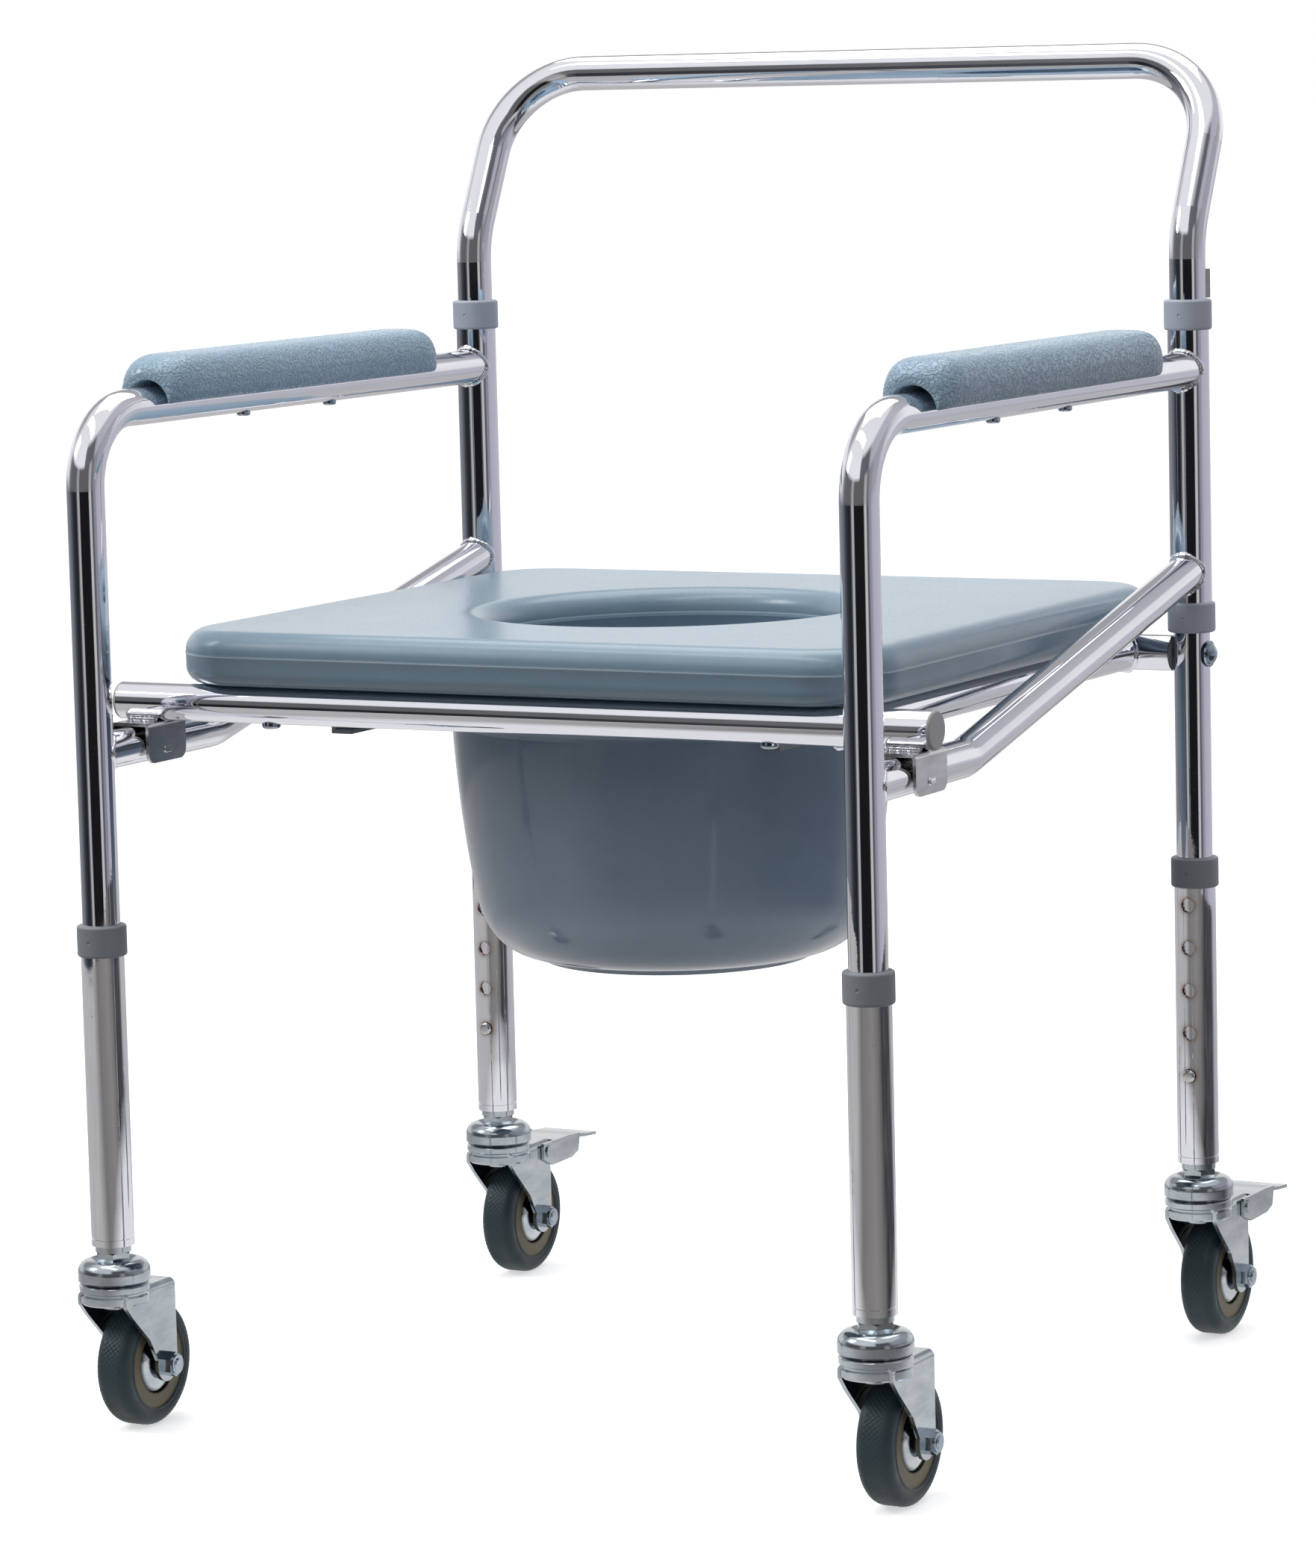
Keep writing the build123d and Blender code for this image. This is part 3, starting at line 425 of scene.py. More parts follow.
def zinc(name, bright, dark, rough=(0.20, 0.36), peel_depth=0.00003):
    """Plated pressed steel: cloudy tint, fine scratches and an orange-peel skin."""
    material, tree, shader, where = new_material(name)
    cloud = tree.noise(tree.stretch(where, (1.0, 1.0, 3.0)), 34.0, 5, 0.65)
    cool = tree.mix(tree.fade(cloud, 0.35, 0.65), bright, dark)
    stain = tree.fade(tree.noise(where, 38.0, 3), 0.54, 0.74, 0.0, 0.35)
    tree.set(shader.inputs["Base Color"], tree.mix(stain, cool, rgb(0.50, 0.52, 0.45)))
    shader.inputs["Metallic"].default_value = 1.0
    scratch = tree.noise(tree.stretch(where, (1.0, 1.0, 7.0)), 260.0, 3, 0.7)
    tree.set(shader.inputs["Roughness"], tree.fade(scratch, 0.3, 0.75, *rough))
    peel = tree.bump(tree.noise(where, 160.0, 2), peel_depth, 0.4)
    tree.set(shader.inputs["Normal"], tree.bump(scratch, 0.00001, 0.3, peel))
    return material


WHEEL_R = 0.0375
COVER_EDGE_R = 0.0183


def from_axle(tree, where):
    """Distance from the nearest axle, in the plane of the wheel."""
    _, y, z = tree.add("ShaderNodeSeparateXYZ", {0: where}).outputs
    centre = middle("tyre_front_right").y
    reach = (middle("tyre_rear_right").y - centre) / 2
    off_y = tree.math("ABSOLUTE", tree.math("SUBTRACT", y, centre + reach))
    off_y = tree.math("SUBTRACT", off_y, reach)
    off_z = tree.math("SUBTRACT", z, WHEEL_R)
    return tree.length(off_y, off_z)


def tinted(material, amount, color):
    """Mix a colour over a finished material, as much as amount(tree, where) says."""
    tree = Tree.wrap(material)
    where = tree.add("ShaderNodeTexCoord").outputs["Object"]
    socket = material.node_tree.nodes["Principled BSDF"].inputs["Base Color"]
    plain = socket.links[0].from_socket
    tree.set(socket, tree.mix(amount(tree, where), plain, color))
    return material


def hub_zinc(bright, dark):
    """Domed hub cover, with a painted shadow ring at its edge."""

    # painted shade: the cover's outer edge darkens to near black where it meets the wheel core
    def ring(tree, where):
        apart = from_axle(tree, where)
        return tree.fade(apart, COVER_EDGE_R - 0.0032, COVER_EDGE_R - 0.0012, 0.0, 0.93)

    return tinted(zinc("zinc_hub", bright, dark, (0.12, 0.24)), ring, rgb(0.03, 0.03, 0.025))


def moulded(name, light, deep, rough, grain_scale, grain_depth, wave_depth=0.0, coat=(0.0, 0.08)):
    """Moulded plastic: cloudy colour, fine grain and slow waves left by the mould."""
    material, tree, shader, where = new_material(name)
    cloud = tree.noise(where, 22.0, 4, 0.6)
    fine = tree.noise(where, grain_scale, 3, 0.6)
    body = tree.mix(tree.fade(cloud, 0.3, 0.7), light, deep)
    specks = tree.fade(tree.noise(where, 1300.0, 2), 0.68, 0.76, 0.0, 0.12)
    tree.set(shader.inputs["Base Color"], tree.mix(specks, body, gray(0.45)))
    tree.set(shader.inputs["Roughness"], tree.fade(fine, 0.3, 0.7, *rough))
    shader.inputs["Coat Weight"].default_value, shader.inputs["Coat Roughness"].default_value = coat
    normal = tree.bump(fine, grain_depth, 0.6)
    if wave_depth:
        normal = tree.bump(tree.noise(where, 16.0, 1), wave_depth, 0.5, normal)
    tree.set(shader.inputs["Normal"], normal)
    return material


def grained_foam():
    """Skinned foam with a leather-like grain of soft, glossy bumps and painted shade in its creases."""
    material, tree, shader, where = new_material("foam_grain")
    cloud = tree.noise(where, 30.0, 4, 0.6)
    body = tree.mix(tree.fade(cloud, 0.3, 0.7), rgb(0.312, 0.447, 0.560), rgb(0.280, 0.405, 0.512))
    ridges = tree.math("ABSOLUTE", tree.math("SUBTRACT", tree.noise(where, 300.0, 1, 0.5, 0.4), 0.5))
    pebbles = tree.fade(ridges, 0.010, 0.085)
    # painted shade: the creases between the bumps are darkened towards deep blue
    painted_crease_shade = tree.fade(ridges, 0.035, 0.0)
    deep = rgb(0.14, 0.22, 0.29)
    tree.set(shader.inputs["Base Color"], tree.mix(tree.math("MULTIPLY", painted_crease_shade, 0.25), body, deep))
    tree.set(shader.inputs["Roughness"], tree.fade(pebbles, 0.0, 1.0, 0.50, 0.22))
    soft = tree.bump(pebbles, 0.0006, 0.8)
    tree.set(shader.inputs["Normal"], tree.bump(tree.noise(where, 1100.0, 3), 0.00006, 0.4, soft))
    shader.inputs["Sheen Weight"].default_value = 0.08
    return material


def core_plastic():
    """Khaki plastic of the wheels, with painted shade where it meets the hub covers."""

    # painted shade: a near-black ring just outside the hub cover's edge
    def ring(tree, where):
        return tree.fade(from_axle(tree, where), COVER_EDGE_R + 0.0012, COVER_EDGE_R, 0.0, 0.85)

    light, deep = rgb(0.250, 0.212, 0.130), rgb(0.195, 0.165, 0.100)
    khaki = moulded("core_plastic", light, deep, (0.42, 0.60), 700.0, 0.00010)
    return tinted(khaki, ring, rgb(0.03, 0.028, 0.02))


def board_plastic():
    """Smooth plastic of the seat board, with a pale line along the mould's parting line."""

    def line(tree, where):
        z = tree.add("ShaderNodeSeparateXYZ", {0: where}).outputs[2]
        line_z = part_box("seat_board")[1].z - PARTING_DOWN
        apart = tree.math("ABSOLUTE", tree.math("SUBTRACT", z, line_z))
        return tree.fade(apart, 0.0005, 0.0002, 0.0, 0.55)

    light, deep = rgb(0.215, 0.312, 0.392), rgb(0.192, 0.284, 0.360)
    blue = moulded("seat_plastic", light, deep, (0.26, 0.38), 620.0, 0.00006, 0.0008, (0.35, 0.20))
    return tinted(blue, line, rgb(0.62, 0.70, 0.76))


def tyre_rubber():
    material, tree, shader, where = new_material("tyre_rubber")
    cloud = tree.noise(where, 70.0, 4)
    body = tree.mix(cloud, rgb(0.013, 0.032, 0.040), rgb(0.022, 0.046, 0.056))
    dust = tree.fade(tree.noise(where, 420.0, 4, 0.7), 0.58, 0.78, 0.0, 0.22)
    tree.set(shader.inputs["Base Color"], tree.mix(dust, body, rgb(0.11, 0.12, 0.12)))
    tree.set(shader.inputs["Roughness"], tree.fade(cloud, 0.3, 0.7, 0.42, 0.62))
    tree.set(shader.inputs["Normal"], tree.bump(tree.noise(where, 1500.0, 2), 0.0001, 0.4))
    return material


def paint(node, material):
    """Give a CAD node its material."""
    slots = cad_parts[node].data.materials
    if not slots:
        slots.append(material)
    for index in range(len(slots)):
        slots[index] = material


# Mesh helpers ----------------------------------------------------------------------------------


def piece(name, points, faces, material, body, smooth=True):
    """A new mesh piece, with its faces turned outwards, riding on a body."""
    mesh = bpy.data.meshes.new(name)
    mesh.from_pydata([tuple(p) for p in points], [], faces)
    work = bmesh.new()
    work.from_mesh(mesh)
    bmesh.ops.remove_doubles(work, verts=work.verts, dist=1e-6)
    bmesh.ops.recalc_face_normals(work, faces=work.faces)
    work.to_mesh(mesh)
    work.free()
    mesh.materials.append(material)
    mesh.polygons.foreach_set("use_smooth", [smooth] * len(mesh.polygons))
    made = bpy.data.objects.new(name, mesh)
    bpy.context.scene.collection.objects.link(made)
    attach(made, body)
    return made


def grid_faces(rows, columns, wrap_rows=False, wrap_columns=True, start=0):
    """Quads over a grid of points kept row by row."""
    faces = []
    for i in range(rows if wrap_rows else rows - 1):
        for j in range(columns if wrap_columns else columns - 1):
            a = start + i * columns + j
            b = start + i * columns + (j + 1) % columns
            c = start + ((i + 1) % rows) * columns + (j + 1) % columns
            d = start + ((i + 1) % rows) * columns + j
            faces.append((a, b, c, d))
    return faces


def arc(count, start=0.0, end=90.0):
    """Angles in radians, ends included."""
    return [math.radians(start + (end - start) * i / (count - 1)) for i in range(count)]


# Seat board ------------------------------------------------------------------------------------

SEAT_CORNER_R = 0.046
SEAT_TOP_R = 0.013
SEAT_BOTTOM_R = 0.010
SEAT_HOLE_R = 0.1095
SEAT_HOLE_Y = -0.0188
HOLE_BOTTOM_R = 0.003
PARTING_DOWN = 0.0143
FLASH_HALF = 0.0003
FLASH_PROUD = 0.0003
DIMPLE_PITCH = 0.052
DIMPLE_R = 0.013
DIMPLE_DEPTH = 0.0045
DIMPLE_CLEAR = 0.018
RUNNER_BAND = (0.142, 0.168)


def board_outline(low, high):
    """Points and outward normals round the board, seen from above."""
    points, normals = [], []
    centres = []
    for sx, sy, start in ((1, 1, 0), (-1, 1, 90), (-1, -1, 180), (1, -1, 270)):
        x = high.x - SEAT_CORNER_R if sx > 0 else low.x + SEAT_CORNER_R
        y = high.y - SEAT_CORNER_R if sy > 0 else low.y + SEAT_CORNER_R
        centres.append((x, y, start))
    for index, (x, y, start) in enumerate(centres):
        for a in arc(19, start, start + 90):
            normals.append((math.cos(a), math.sin(a)))
            points.append((x + SEAT_CORNER_R * normals[-1][0], y + SEAT_CORNER_R * normals[-1][1]))
        nx, ny, _ = centres[(index + 1) % 4]
        side = math.radians(start + 90)
        normal = (math.cos(side), math.sin(side))
        here = points[-1]
        there = (nx + SEAT_CORNER_R * normal[0], ny + SEAT_CORNER_R * normal[1])
        steps = 52
        for k in range(1, steps):
            points.append(tuple(h + (t - h) * k / steps for h, t in zip(here, there)))
            normals.append(normal)
    return np.array(points), np.array(normals)


def seat_board(material):
    low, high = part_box("seat_board")
    outer, normals = board_outline(low, high)
    hole = np.array((0.0, SEAT_HOLE_Y))
    away = outer - hole
    away /= np.linalg.norm(away, axis=1)[:, None]
    rings = []

    def outside(inset, z):
        rings.append(np.column_stack((outer - normals * inset, np.full(len(outer), z))))

    def inside(inset, z):
        rings.append(np.column_stack((hole + away * (SEAT_HOLE_R + inset), np.full(len(outer), z))))

    def between(share, inset_out, inset_in, z):
        a = outer - normals * inset_out
        b = hole + away * (SEAT_HOLE_R + inset_in)
        flat = a * (1 - share) + b * share
        rings.append(np.column_stack((flat, np.full(len(outer), z))))

    for a in arc(7):
        outside(SEAT_BOTTOM_R * (1 - math.sin(a)), low.z + SEAT_BOTTOM_R * (1 - math.cos(a)))
    line = high.z - PARTING_DOWN
    for offset, proud in ((-3, 0), (-1, 1), (1, 1), (3, 0)):
        outside(-proud * FLASH_PROUD, line + offset * FLASH_HALF)
    for a in arc(10):
        outside(SEAT_TOP_R * (1 - math.cos(a)), high.z - SEAT_TOP_R * (1 - math.sin(a)))
    top_steps = 22
    for k in range(1, top_steps):
        between(k / top_steps, SEAT_TOP_R, SEAT_TOP_R, high.z)
    for a in arc(10):
        inside(SEAT_TOP_R * (1 - math.sin(a)), high.z - SEAT_TOP_R * (1 - math.cos(a)))
    for offset, proud in ((3, 0), (1, 1), (-1, 1), (-3, 0)):
        inside(-proud * FLASH_PROUD, line - 0.002 + offset * FLASH_HALF)
    for a in arc(5):
        inside(HOLE_BOTTOM_R * (1 - math.cos(a)), low.z + HOLE_BOTTOM_R * (1 - math.sin(a)))
    bottom_steps = 42
    for k in range(1, bottom_steps):
        between(1 - k / bottom_steps, SEAT_BOTTOM_R, HOLE_BOTTOM_R, low.z)
        tack_offs(rings[-1], low.z)
    points = np.concatenate(rings)
    faces = grid_faces(len(rings), len(outer), wrap_rows=True)
    made = piece("seat_board_moulding", points, faces, material, "seat")
    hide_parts("seat_board")


def tack_offs(ring, z):
    """Round dimples under the board where the two walls are welded together."""
    for point in ring:
        if min(abs(point[1] - CROSS_Y), abs(point[1] - REAR_Y)) < DIMPLE_CLEAR:
            continue
        off_middle = abs(point[0])
        if abs(off_middle - SIDE_TUBE_X) < DIMPLE_CLEAR or RUNNER_BAND[0] < off_middle < RUNNER_BAND[1]:
            continue
        cell = [round(point[i] / DIMPLE_PITCH) * DIMPLE_PITCH for i in (0, 1)]
        apart = math.dist(point[:2], cell)
        if apart < DIMPLE_R:
            point[2] = z + DIMPLE_DEPTH * (1 + math.cos(math.pi * apart / DIMPLE_R)) / 2


# Armrest pads ----------------------------------------------------------------------------------

GROOVE_R = 0.01125
NOTCH_R = 0.0152
NOTCH_DEPTH = 0.017
LIP_R = 0.0158
LIP_BEAD_R = 0.0011
LIP_IN = 0.0016
PAD_ROUND_FRONT = 0.024
PAD_ROUND_REAR = 0.026
PAD_SQUARENESS = 3.9


def armrest_pad(side, material):
    """A crowned pad over the upper half of the arm tube, with an arch for the bend in front."""
    low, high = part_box(f"armrest_pad_{side}")
    x_middle = (low.x + high.x) / 2
    half = (high.x - low.x) / 2
    floor = low.z
    tall = high.z - floor
    length = high.y - low.y
    around = 44
    angles = arc(around, 0, 180)
    stations = [length * 0.5 * (1 - math.cos(a)) for a in arc(90, 0, 180)]
    rings = []
    for s in stations:
        front = min(1.0, s / PAD_ROUND_FRONT)
        rear = min(1.0, (length - s) / PAD_ROUND_REAR)
        thick = math.sqrt(max(0.0, 1 - (1 - front) ** 2)) * math.sqrt(max(0.0, 1 - (1 - rear) ** 2.4))
        notch = max(0.0, 1 - s / NOTCH_DEPTH)
        groove = GROOVE_R + (NOTCH_R - GROOVE_R) * math.sqrt(notch)
        flare = 1 - 0.012 * math.cos(2 * math.pi * s / length)
        outer, inner = [], []
        for a in angles:
            c, v = math.cos(a), math.sin(a)
            spread = math.copysign(abs(c) ** (2 / PAD_SQUARENESS), c)
            rise = abs(v) ** (2 / PAD_SQUARENESS)
            tuck = 0.93 + 0.07 * min(1.0, rise * 2.2)
            full = (half * flare * spread * tuck, tall * rise)
            dip = floor - ARM_Z
            start = math.asin(max(dip, 0.0) / groove)
            turn = start + (math.pi - 2 * start) * a / math.pi
            hollow = (groove * math.cos(turn), groove * math.sin(turn) - dip)
            share = 0.14 + 0.86 * thick
            outer.append([h + (f - h) * share for h, f in zip(hollow, full)])
            inner.append(hollow)
        ring = outer + inner[::-1]
        rings.append([(x_middle + x, low.y + s, floor + z) for x, z in ring])
    columns = 2 * around
    points = [p for ring in rings for p in ring]
    faces = grid_faces(len(rings), columns)
    for row in (0, len(rings) - 1):
        base = row * columns
        for j in range(around - 1):
            faces.append((base + j, base + j + 1, base + columns - 2 - j, base + columns - 1 - j))
    made = piece(f"armrest_cushion_{side}", points, faces, material, "frame")
    smooth = made.modifiers.new("smooth", "SUBSURF")
    smooth.levels = smooth.render_levels = 1
    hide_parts(f"armrest_pad_{side}")


def armrest_lip(side, material):
    """The raised edge round the arch at the front of a pad."""
    low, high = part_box(f"armrest_pad_{side}")
    x_middle = (low.x + high.x) / 2
    path = []
    for a in arc(41, 4, 176):
        path.append((x_middle + LIP_R * math.cos(a), low.y + LIP_IN, ARM_Z + LIP_R * math.sin(a)))
    points, faces = bead(path, False, LIP_BEAD_R, uneven=0.0)
    piece(f"armrest_lip_{side}", points, faces, material, "frame")


# Pail ------------------------------------------------------------------------------------------


def bezier(points, count):
    """Points along a cubic curve, the last left out."""
    a, b, c, d = (np.array(p, float) for p in points)
    result = []
    for k in range(count):
        t = k / count
        u = 1 - t
        result.append(tuple(a * u**3 + 3 * b * u * u * t + 3 * c * u * t * t + d * t**3))
    return result


def pail(material):
    """Bucket of revolution, given as (radius, height) in millimetres."""
    low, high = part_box("pail")
    centre = (low + high) / 2
    rim = 1000 * high.z
    foot = 1000 * low.z
    wall = 2.4
    outside = bezier(((82, foot + 3), (103, foot + 3.4), (115.6, foot + 16), (120.6, foot + 41)), 16)
    outside += bezier(((120.6, foot + 41), (126.5, foot + 70), (131.2, foot + 112), (132.6, rim - 5.5)), 24)
    lip = [
        (132.6, rim - 5.5),
        (133.4, rim - 4.9),
        (135, rim - 4.65),
        (142.7, rim - 4.6),
        (144.0, rim - 4.1),
        (144.5, rim - 2.6),
        (144.2, rim - 1.2),
        (143.1, rim - 0.2),
        (141.5, rim),
        (134.4, rim),
        (132.4, rim - 0.4),
        (131.2, rim - 1.6),
    ]
    inside = [(r - wall, z + wall * 0.4) for r, z in reversed(outside[1:])]
    base = [(82, foot + 3 + wall), (78, foot + 3 + wall), (75, foot + 4.4 + wall), (0, foot + 5.2 + wall)]
    under = [
        (0, foot + 5.2),
        (75, foot + 4.4),
        (78.6, foot + 3.2),
        (79.2, foot + 0.6),
        (79.8, foot),
        (81.4, foot),
        (82, foot + 0.6),
    ]
    profile = under + outside + lip + inside + base
    count = 160
    points = []
    for r, z in profile:
        radius = max(r, 0.02) / 1000
        for j in range(count):
            a = 2 * math.pi * j / count
            points.append((centre.x + radius * math.cos(a), centre.y + radius * math.sin(a), z / 1000))
    faces = grid_faces(len(profile), count)
    made = piece("pail_bucket", points, faces, material, "pail")
    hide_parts("pail")


# Weld beads ------------------------------------------------------------------------------------

BEAD_R = 0.0019
THIN_BEAD_R = 0.0016
CLIP_BEAD_R = 0.0021
CLIP_BEAD_HALF = 0.0105
CLIP_BEAD_OFF = 0.0052
RAIL_WELD_Z = 0.482
RAIL_FLAT_RUN = 0.126


def bead(path, closed, radius=BEAD_R, ripple=0.0026, uneven=1.0):
    """A rippled weld bead along a path, as points and faces. An even one has uneven at 0."""
    path = np.array(path, float)
    count = len(path)
    ahead = np.roll(path, -1, axis=0) - np.roll(path, 1, axis=0)
    if not closed:
        ahead[0] = path[1] - path[0]
        ahead[-1] = path[-1] - path[-2]
    ahead /= np.linalg.norm(ahead, axis=1)[:, None]
    travelled = np.concatenate(([0.0], np.cumsum(np.linalg.norm(np.diff(path, axis=0), axis=1))))
    around = 10
    first, second = random.uniform(0, 6), random.uniform(0, 6)
    points = []
    for i in range(count):
        side = np.cross(ahead[i], (0.31, 0.22, 0.92))
        side /= np.linalg.norm(side)
        other = np.cross(ahead[i], side)
        phase = 2 * math.pi * i / count
        ripples = 0.07 * math.sin(2 * math.pi * travelled[i] / ripple)
        lumps = 0.13 * math.sin(3 * phase + first) + 0.10 * math.sin(7 * phase + second)
        size = radius * (1 + uneven * (ripples + lumps))
        if closed:
            size *= 0.85 + 0.5 * math.sin(phase) ** 6
        if not closed:
            end = min(i, count - 1 - i) / (count * 0.12)
            size *= max(0.12, math.sqrt(min(1.0, end)))
        for k in range(around):
            a = 2 * math.pi * k / around
            points.append(path[i] + size * (side * math.cos(a) + other * math.sin(a)))
    faces = grid_faces(count, around, wrap_rows=closed)
    if not closed:
        faces.append(tuple(range(around)))
        faces.append(tuple(range((count - 1) * around, count * around)))
    return points, faces


def joined(beads):
    points, faces = [], []
    for more_points, more_faces in beads:
        start = len(points)
        points += more_points
        faces += [tuple(v + start for v in f) for f in more_faces]
    return points, faces


def saddle(axis_point, direction, radius, target, target_r, towards, count=96):
    """Where a tube along Y or sloping in the YZ plane meets an upright tube."""
    slope = math.atan2(direction[1], direction[0])
    path = []
    for k in range(count):
        a = 2 * math.pi * k / count
        x = radius * math.cos(a)
        across = radius * math.sin(a)
        reach = math.sqrt(max(target_r**2 - min(abs(x), target_r * 0.985) ** 2, 0))
        y_hit = target[1] + towards * reach
        along = (y_hit - axis_point[1] + across * math.sin(slope)) / math.cos(slope)
        z = axis_point[2] + along * math.sin(slope) + across * math.cos(slope)
        path.append((axis_point[0] + x, y_hit, z))
    return path


def frame_welds(material):
    beads = []
    slope = (REAR_Y - FRONT_Y - RAIL_FLAT_RUN, RAIL_WELD_Z - RAIL_Z)
    for _, sign in SIDES:
        x = sign * LEG_X
        post, leg = (x, REAR_Y), (x, FRONT_Y)
        arm_end = saddle((x, REAR_Y, ARM_Z), (1, 0), TUBE_R, post, SLEEVE_R, -1)
        rail_end = saddle((x, REAR_Y, RAIL_WELD_Z), slope, TUBE_R, post, SLEEVE_R, -1)
        rail_start = saddle((x, FRONT_Y, RAIL_Z), (1, 0), TUBE_R, leg, TUBE_R, 1)
        beads.append(bead(arm_end, True))
        beads.append(bead(rail_end, True))
        beads.append(bead(rail_start, True, THIN_BEAD_R))
    points, faces = joined(beads)
    piece("weld_beads_frame", points, faces, material, "frame")


RIB_HALF_LENGTH = 0.0044
RIB_HALF_HEIGHT = 0.0023
RIB_CREST_HALF = 0.0003
RIB_PROUD = 0.0012
RIB_SUNK = 0.0001
RIB_DOWN = 0.0170
CHEEK_IN = 0.0009


def clip_ribs(material):
    """The pill-shaped rib pressed out of each cheek of the seat clips."""
    low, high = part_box("seat_clips")
    around = 40
    steps = arc(7)
    points, faces = [], []
    for face in (low.x, high.x):
        outward = math.copysign(1, face)
        wall = face - outward * CHEEK_IN
        start = len(points)
        for a in steps:
            radius = RIB_CREST_HALF + (RIB_HALF_HEIGHT - RIB_CREST_HALF) * math.cos(a)
            x = wall + outward * (RIB_PROUD * math.sin(a) - RIB_SUNK)
            for k in range(around):
                b = 2 * math.pi * k / around
                straight = math.copysign(RIB_HALF_LENGTH - RIB_HALF_HEIGHT, math.cos(b))
                y = CROSS_Y + straight + radius * math.cos(b)
                points.append((x, y, high.z - RIB_DOWN + radius * math.sin(b)))
        faces += grid_faces(len(steps), around, start=start)
        faces.append(tuple(range(len(points) - around, len(points))))
        faces.append(tuple(range(start, start + around)))
    piece("clip_ribs", points, faces, material, "seat")


def seat_welds(material):
    beads = []
    clip_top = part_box("seat_clips")[1].z
    for _, sign in SIDES:
        for y, towards in ((CROSS_Y, 1), (REAR_Y, -1)):
            path = []
            for k in range(96):
                a = 2 * math.pi * k / 96
                up = TUBE_R * math.sin(a)
                reach = math.sqrt(max(TUBE_R**2 - min(abs(up), TUBE_R * 0.985) ** 2, 0))
                x = sign * SIDE_TUBE_X + TUBE_R * math.cos(a)
                path.append((x, y + towards * reach, CROSS_Z + up))
            beads.append(bead(path, True, THIN_BEAD_R))
        for side in (-1, 1):
            path = []
            for k in range(27):
                x = sign * LEG_X - CLIP_BEAD_HALF + 2 * CLIP_BEAD_HALF * k / 26
                path.append((x, CROSS_Y + side * CLIP_BEAD_OFF, clip_top + 0.0008))
            beads.append(bead(path, False, CLIP_BEAD_R, 0.0032))
    points, faces = joined(beads)
    piece("weld_beads_seat", points, faces, material, "seat")


# Tyres -----------------------------------------------------------------------------------------


def tyre(place, material):
    """Tyre with two moulded side grooves and a fine diamond pattern on its tread."""
    low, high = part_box(f"tyre_{place}")
    centre = (low + high) / 2
    radius = (high.z - low.z) / 2
    half = (high.x - low.x) / 2
    bore = 0.027
    corner = 0.006
    profile = [(-half, bore)]
    profile += [(-half, bore + 0.0006), (-half + 0.0004, bore + 0.0012), (-half + 0.0004, bore + 0.0020)]
    profile += [(-half, bore + 0.0026)]
    for a in arc(9):
        profile.append((-half + corner * (1 - math.cos(a)), radius - corner * (1 - math.sin(a))))
    tread = 26
    for k in range(1, tread):
        profile.append((-(half - corner) + 2 * (half - corner) * k / tread, radius))
    for x, r in list(reversed(profile[:14])):
        profile.append((-x, r))
    around = 432
    pitches = 72
    points = []
    for x, r in profile:
        shade = max(0.0, (r - radius + corner * 0.9) / (corner * 0.9))
        for j in range(around):
            a = 2 * math.pi * j / around
            turn = pitches * a
            slip = x / (2 * math.pi * radius / pitches) * 2 * math.pi
            knurl = 0.5 * (math.cos(turn + slip) + math.cos(turn - slip))
            deep = 0.00045 * shade * (knurl * 0.5 - 0.5)
            points.append(
                (centre.x + x, centre.y + (r + deep) * math.cos(a), centre.z + (r + deep) * math.sin(a))
            )
    faces = grid_faces(len(profile), around, wrap_rows=True)
    made = piece(f"tyre_tread_{place}", points, faces, material, f"wheel_{place}")
    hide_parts(f"tyre_{place}")


# Snap buttons ----------------------------------------------------------------------------------

BUTTON_R = 0.0040
BUTTON_DOME = 0.0016
BUTTON_UP_SPRING = 0.0070
HEAD_SEATED = 0.0018
POLE_R = 0.00002
SPRING_HALF_WIDTH = 0.0030
SPRING_METAL = 0.0008


def button_places(place):
    """The leg's axis, the way the button faces, and the ends of its box along Y."""
    low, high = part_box(f"snap_button_{place}")
    facing = 1 if place.startswith("front") else -1
    foot, end = (low.y, high.y) if facing > 0 else (high.y, low.y)
    axis_y = FRONT_Y if facing > 0 else REAR_Y
    return (low.x + high.x) / 2, axis_y, facing, foot, end


def snap_spring(place, material):
    """V spring inside the tube, in one fixed shape; the real one closes towards its foot as the button is
    pressed.
    """
    low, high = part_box(f"snap_button_{place}")
    x, axis_y, facing, foot, _ = button_places(place)
    wide = abs(axis_y - foot)
    bend = SPRING_METAL * 1.2
    apex = high.z - 2 * SPRING_METAL
    strip = [(-wide + SPRING_METAL / 2, low.z), (-bend, apex - SPRING_METAL)]
    strip += [(bend * math.sin(a), apex + SPRING_METAL * math.cos(a)) for a in arc(9, -60, 60)]
    strip += [(bend, apex - SPRING_METAL), (wide - SPRING_METAL / 2, low.z)]
    strip = np.array(strip)
    ahead = np.gradient(strip, axis=0)
    ahead /= np.linalg.norm(ahead, axis=1)[:, None]
    side = np.column_stack((-ahead[:, 1], ahead[:, 0])) * SPRING_METAL / 2
    points = []
    for centre, off in zip(strip, side):
        for across, edge in ((-1, 1), (1, 1), (1, -1), (-1, -1)):
            y, z = centre + off * edge
            y = max(-wide, min(wide, y))
            z = max(low.z, min(high.z, z))
            points.append((x + across * SPRING_HALF_WIDTH, axis_y + facing * y, z))
    faces = grid_faces(len(strip), 4)
    faces += [tuple(range(4)), tuple(range(len(points) - 4, len(points)))]
    made = piece(f"snap_spring_{place}", points, faces, material, "frame")
    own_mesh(made)


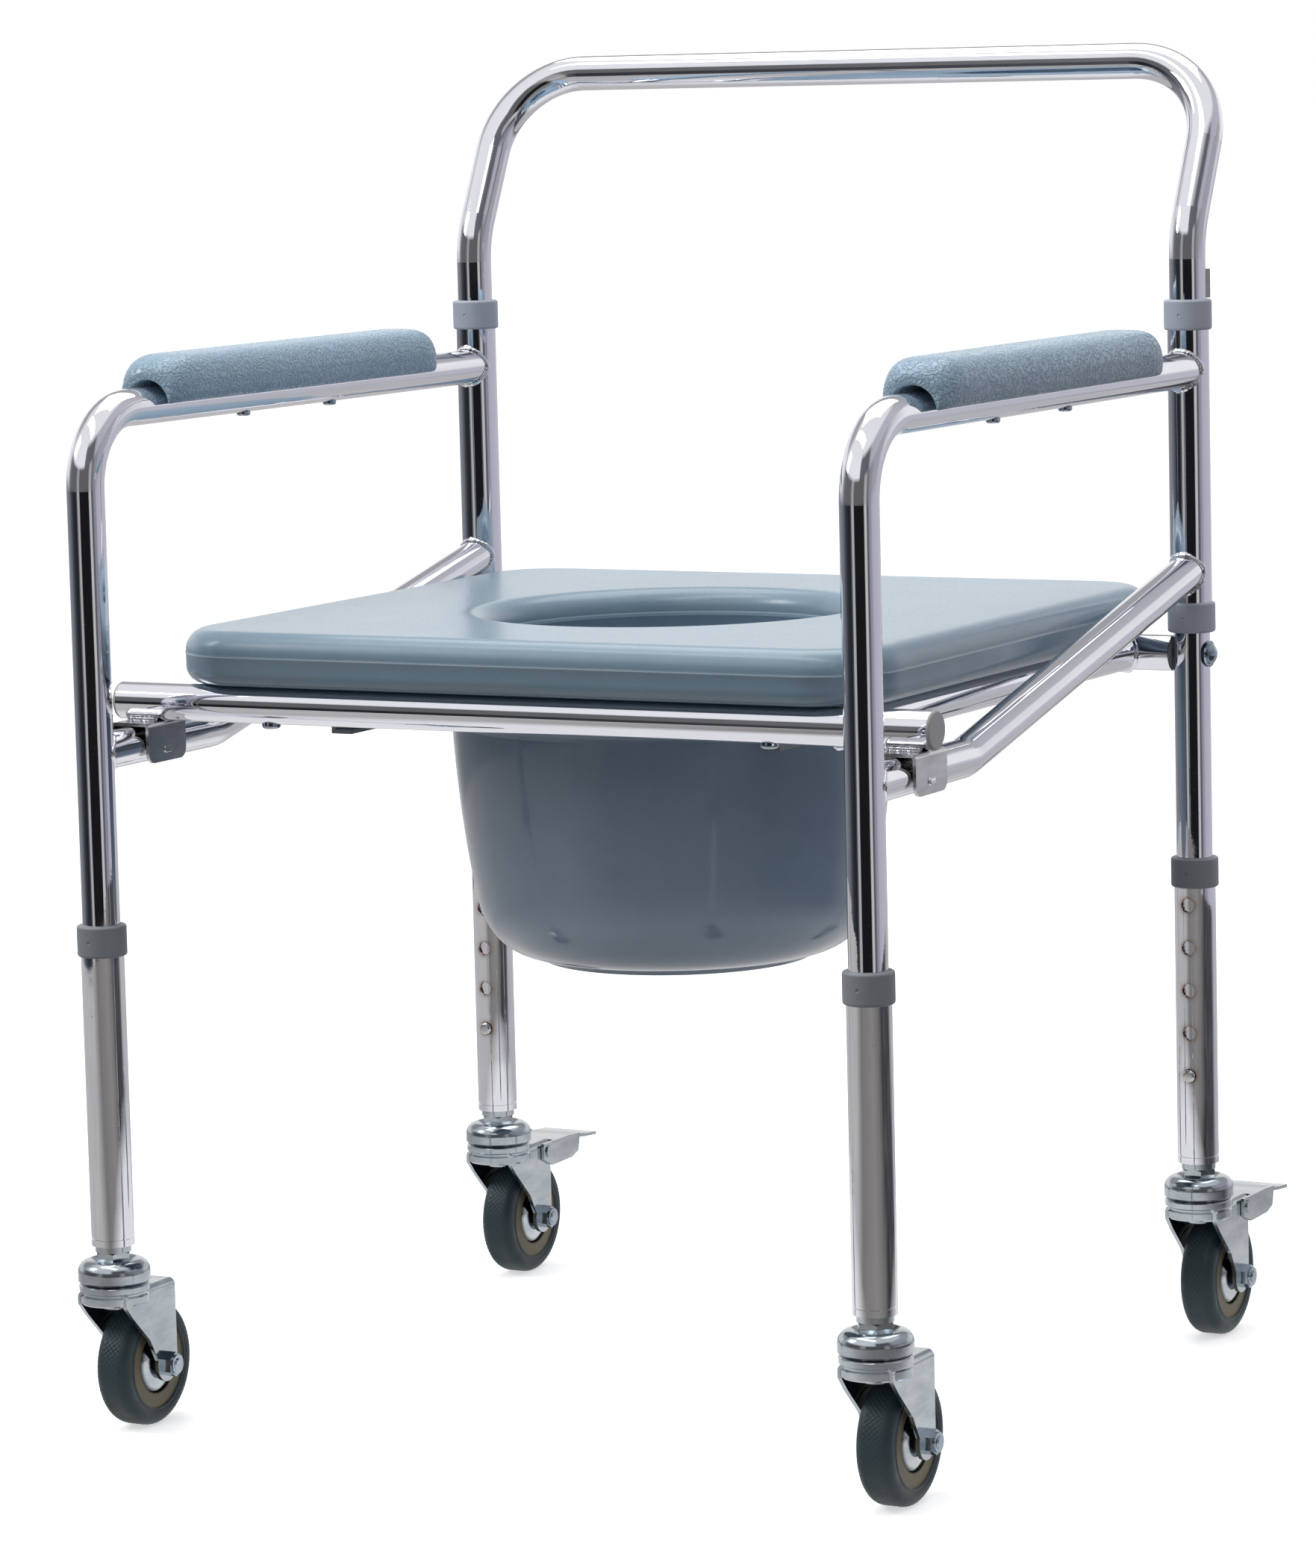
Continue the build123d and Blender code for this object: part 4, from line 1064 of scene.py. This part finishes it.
def snap_head(place, material):
    """Domed button, seated in the near arm of its spring."""
    x, axis_y, facing, foot, end = button_places(place)
    base = abs(axis_y - foot) - HEAD_SEATED
    reach = abs(end - axis_y)
    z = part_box(f"snap_button_{place}")[0].z + BUTTON_UP_SPRING
    profile = [(POLE_R, base), (BUTTON_R, base)]
    for a in arc(8):
        inset = BUTTON_DOME * (1 - math.cos(a))
        profile.append((BUTTON_R - inset, reach - BUTTON_DOME * (1 - math.sin(a))))
    profile.append((POLE_R, reach))
    around = 48
    points = []
    for radius, y in profile:
        for k in range(around):
            a = 2 * math.pi * k / around
            points.append((x + radius * math.cos(a), axis_y + facing * y, z + radius * math.sin(a)))
    faces = grid_faces(len(profile), around)
    faces += [tuple(range(around)), tuple(range(len(points) - around, len(points)))]
    made = piece(f"snap_head_{place}", points, faces, material, f"button_{place}")
    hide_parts(f"snap_button_{place}")


# Everything together ---------------------------------------------------------------------------

random.seed(SEED)
make_camera()
make_world()
make_floor()
make_floor_sheen()
DAYLIGHT = (0.97, 0.985, 1)
area_light("overhead", (-0.3, 0.9, 2.6), (0, 0, 0.4), (2.2, 1.8), 26, DAYLIGHT)
area_light("high_front", (-0.3, -0.8, 2.4), (0, -0.1, 0.45), (2.0, 0.4), 10, DAYLIGHT)
area_light("high_left", (-2.0, -1.3, 2.0), (-0.15, 0, 0.5), (0.8, 0.8), 20, (0.95, 0.98, 1))

bright = chrome()[0]
drilled = leg_chrome()
castor_zinc = zinc("zinc_castor", rgb(0.50, 0.54, 0.57), rgb(0.36, 0.40, 0.44), (0.09, 0.19))
hub_steel = hub_zinc(rgb(0.58, 0.62, 0.65), rgb(0.42, 0.46, 0.50))
bolt_zinc = zinc("zinc_bolts", rgb(0.42, 0.48, 0.54), rgb(0.28, 0.33, 0.39), (0.12, 0.22))
clip_steel = zinc(
    "steel_clip", rgb(0.62, 0.61, 0.61), rgb(0.48, 0.48, 0.49), (0.16, 0.28), 0.000015
)
collars = moulded(
    "collar_plastic", rgb(0.460, 0.490, 0.560), rgb(0.400, 0.430, 0.495), (0.40, 0.56), 1100.0, 0.00008
)
leg_collars = moulded(
    "collar_dark", rgb(0.270, 0.288, 0.312), rgb(0.225, 0.240, 0.262), (0.42, 0.58), 1100.0, 0.00008
)
caps = moulded(
    "cap_plastic", rgb(0.440, 0.435, 0.440), rgb(0.380, 0.375, 0.380), (0.40, 0.58), 900.0, 0.00008
)
seat_plastic = board_plastic()
pail_plastic = moulded(
    "pail_plastic",
    rgb(0.300, 0.400, 0.520),
    rgb(0.268, 0.360, 0.472),
    (0.12, 0.20),
    240.0,
    0.00002,
    0.0012,
    (0.4, 0.05),
)
runner_plastic = moulded(
    "runner_plastic", rgb(0.34, 0.37, 0.39), rgb(0.28, 0.31, 0.33), (0.40, 0.58), 800.0, 0.00008
)
khaki = core_plastic()
foam = grained_foam()
rubber = tyre_rubber()

NODE_MATERIALS = {
    "back_hoop": bright,
    "arm_tube": bright,
    "post_sleeves": bright,
    "side_rail": bright,
    "armrest_pad": foam,
    "pad_screws": bolt_zinc,
    "post_collars": collars,
    "pivot_bolts": bolt_zinc,
    "stop_tabs": clip_steel,
    "front_cross_tube": bright,
    "rear_cross_tube": bright,
    "seat_side_tubes": bright,
    "seat_clips": clip_steel,
    "tube_end_caps": caps,
    "pivot_bushes": runner_plastic,
    "seat_board": seat_plastic,
    "seat_screws": bolt_zinc,
    "pail_runners": runner_plastic,
    "pail": pail_plastic,
    "leg_tube": drilled,
    "leg_collar": leg_collars,
    "castor_mount": castor_zinc,
    "snap_button": clip_steel,
    "fork": castor_zinc,
    "axle_bolt": bolt_zinc,
    "tyre": rubber,
    "wheel_core": khaki,
    "hub_covers": hub_steel,
    "brake_pedal": castor_zinc,
}
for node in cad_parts:
    key = max((k for k in NODE_MATERIALS if node.startswith(k)), key=len)
    paint(node, NODE_MATERIALS[key])

seat_board(seat_plastic)
for side_name, _ in SIDES:
    armrest_pad(side_name, foam)
    armrest_lip(side_name, foam)
pail(pail_plastic)
frame_welds(bright)
seat_welds(bright)
clip_ribs(bright)
for castor in CASTORS:
    tyre(castor, rubber)
    snap_spring(castor, clip_steel)
    snap_head(castor, clip_steel)

bpy.context.scene.view_settings.view_transform = "Standard"
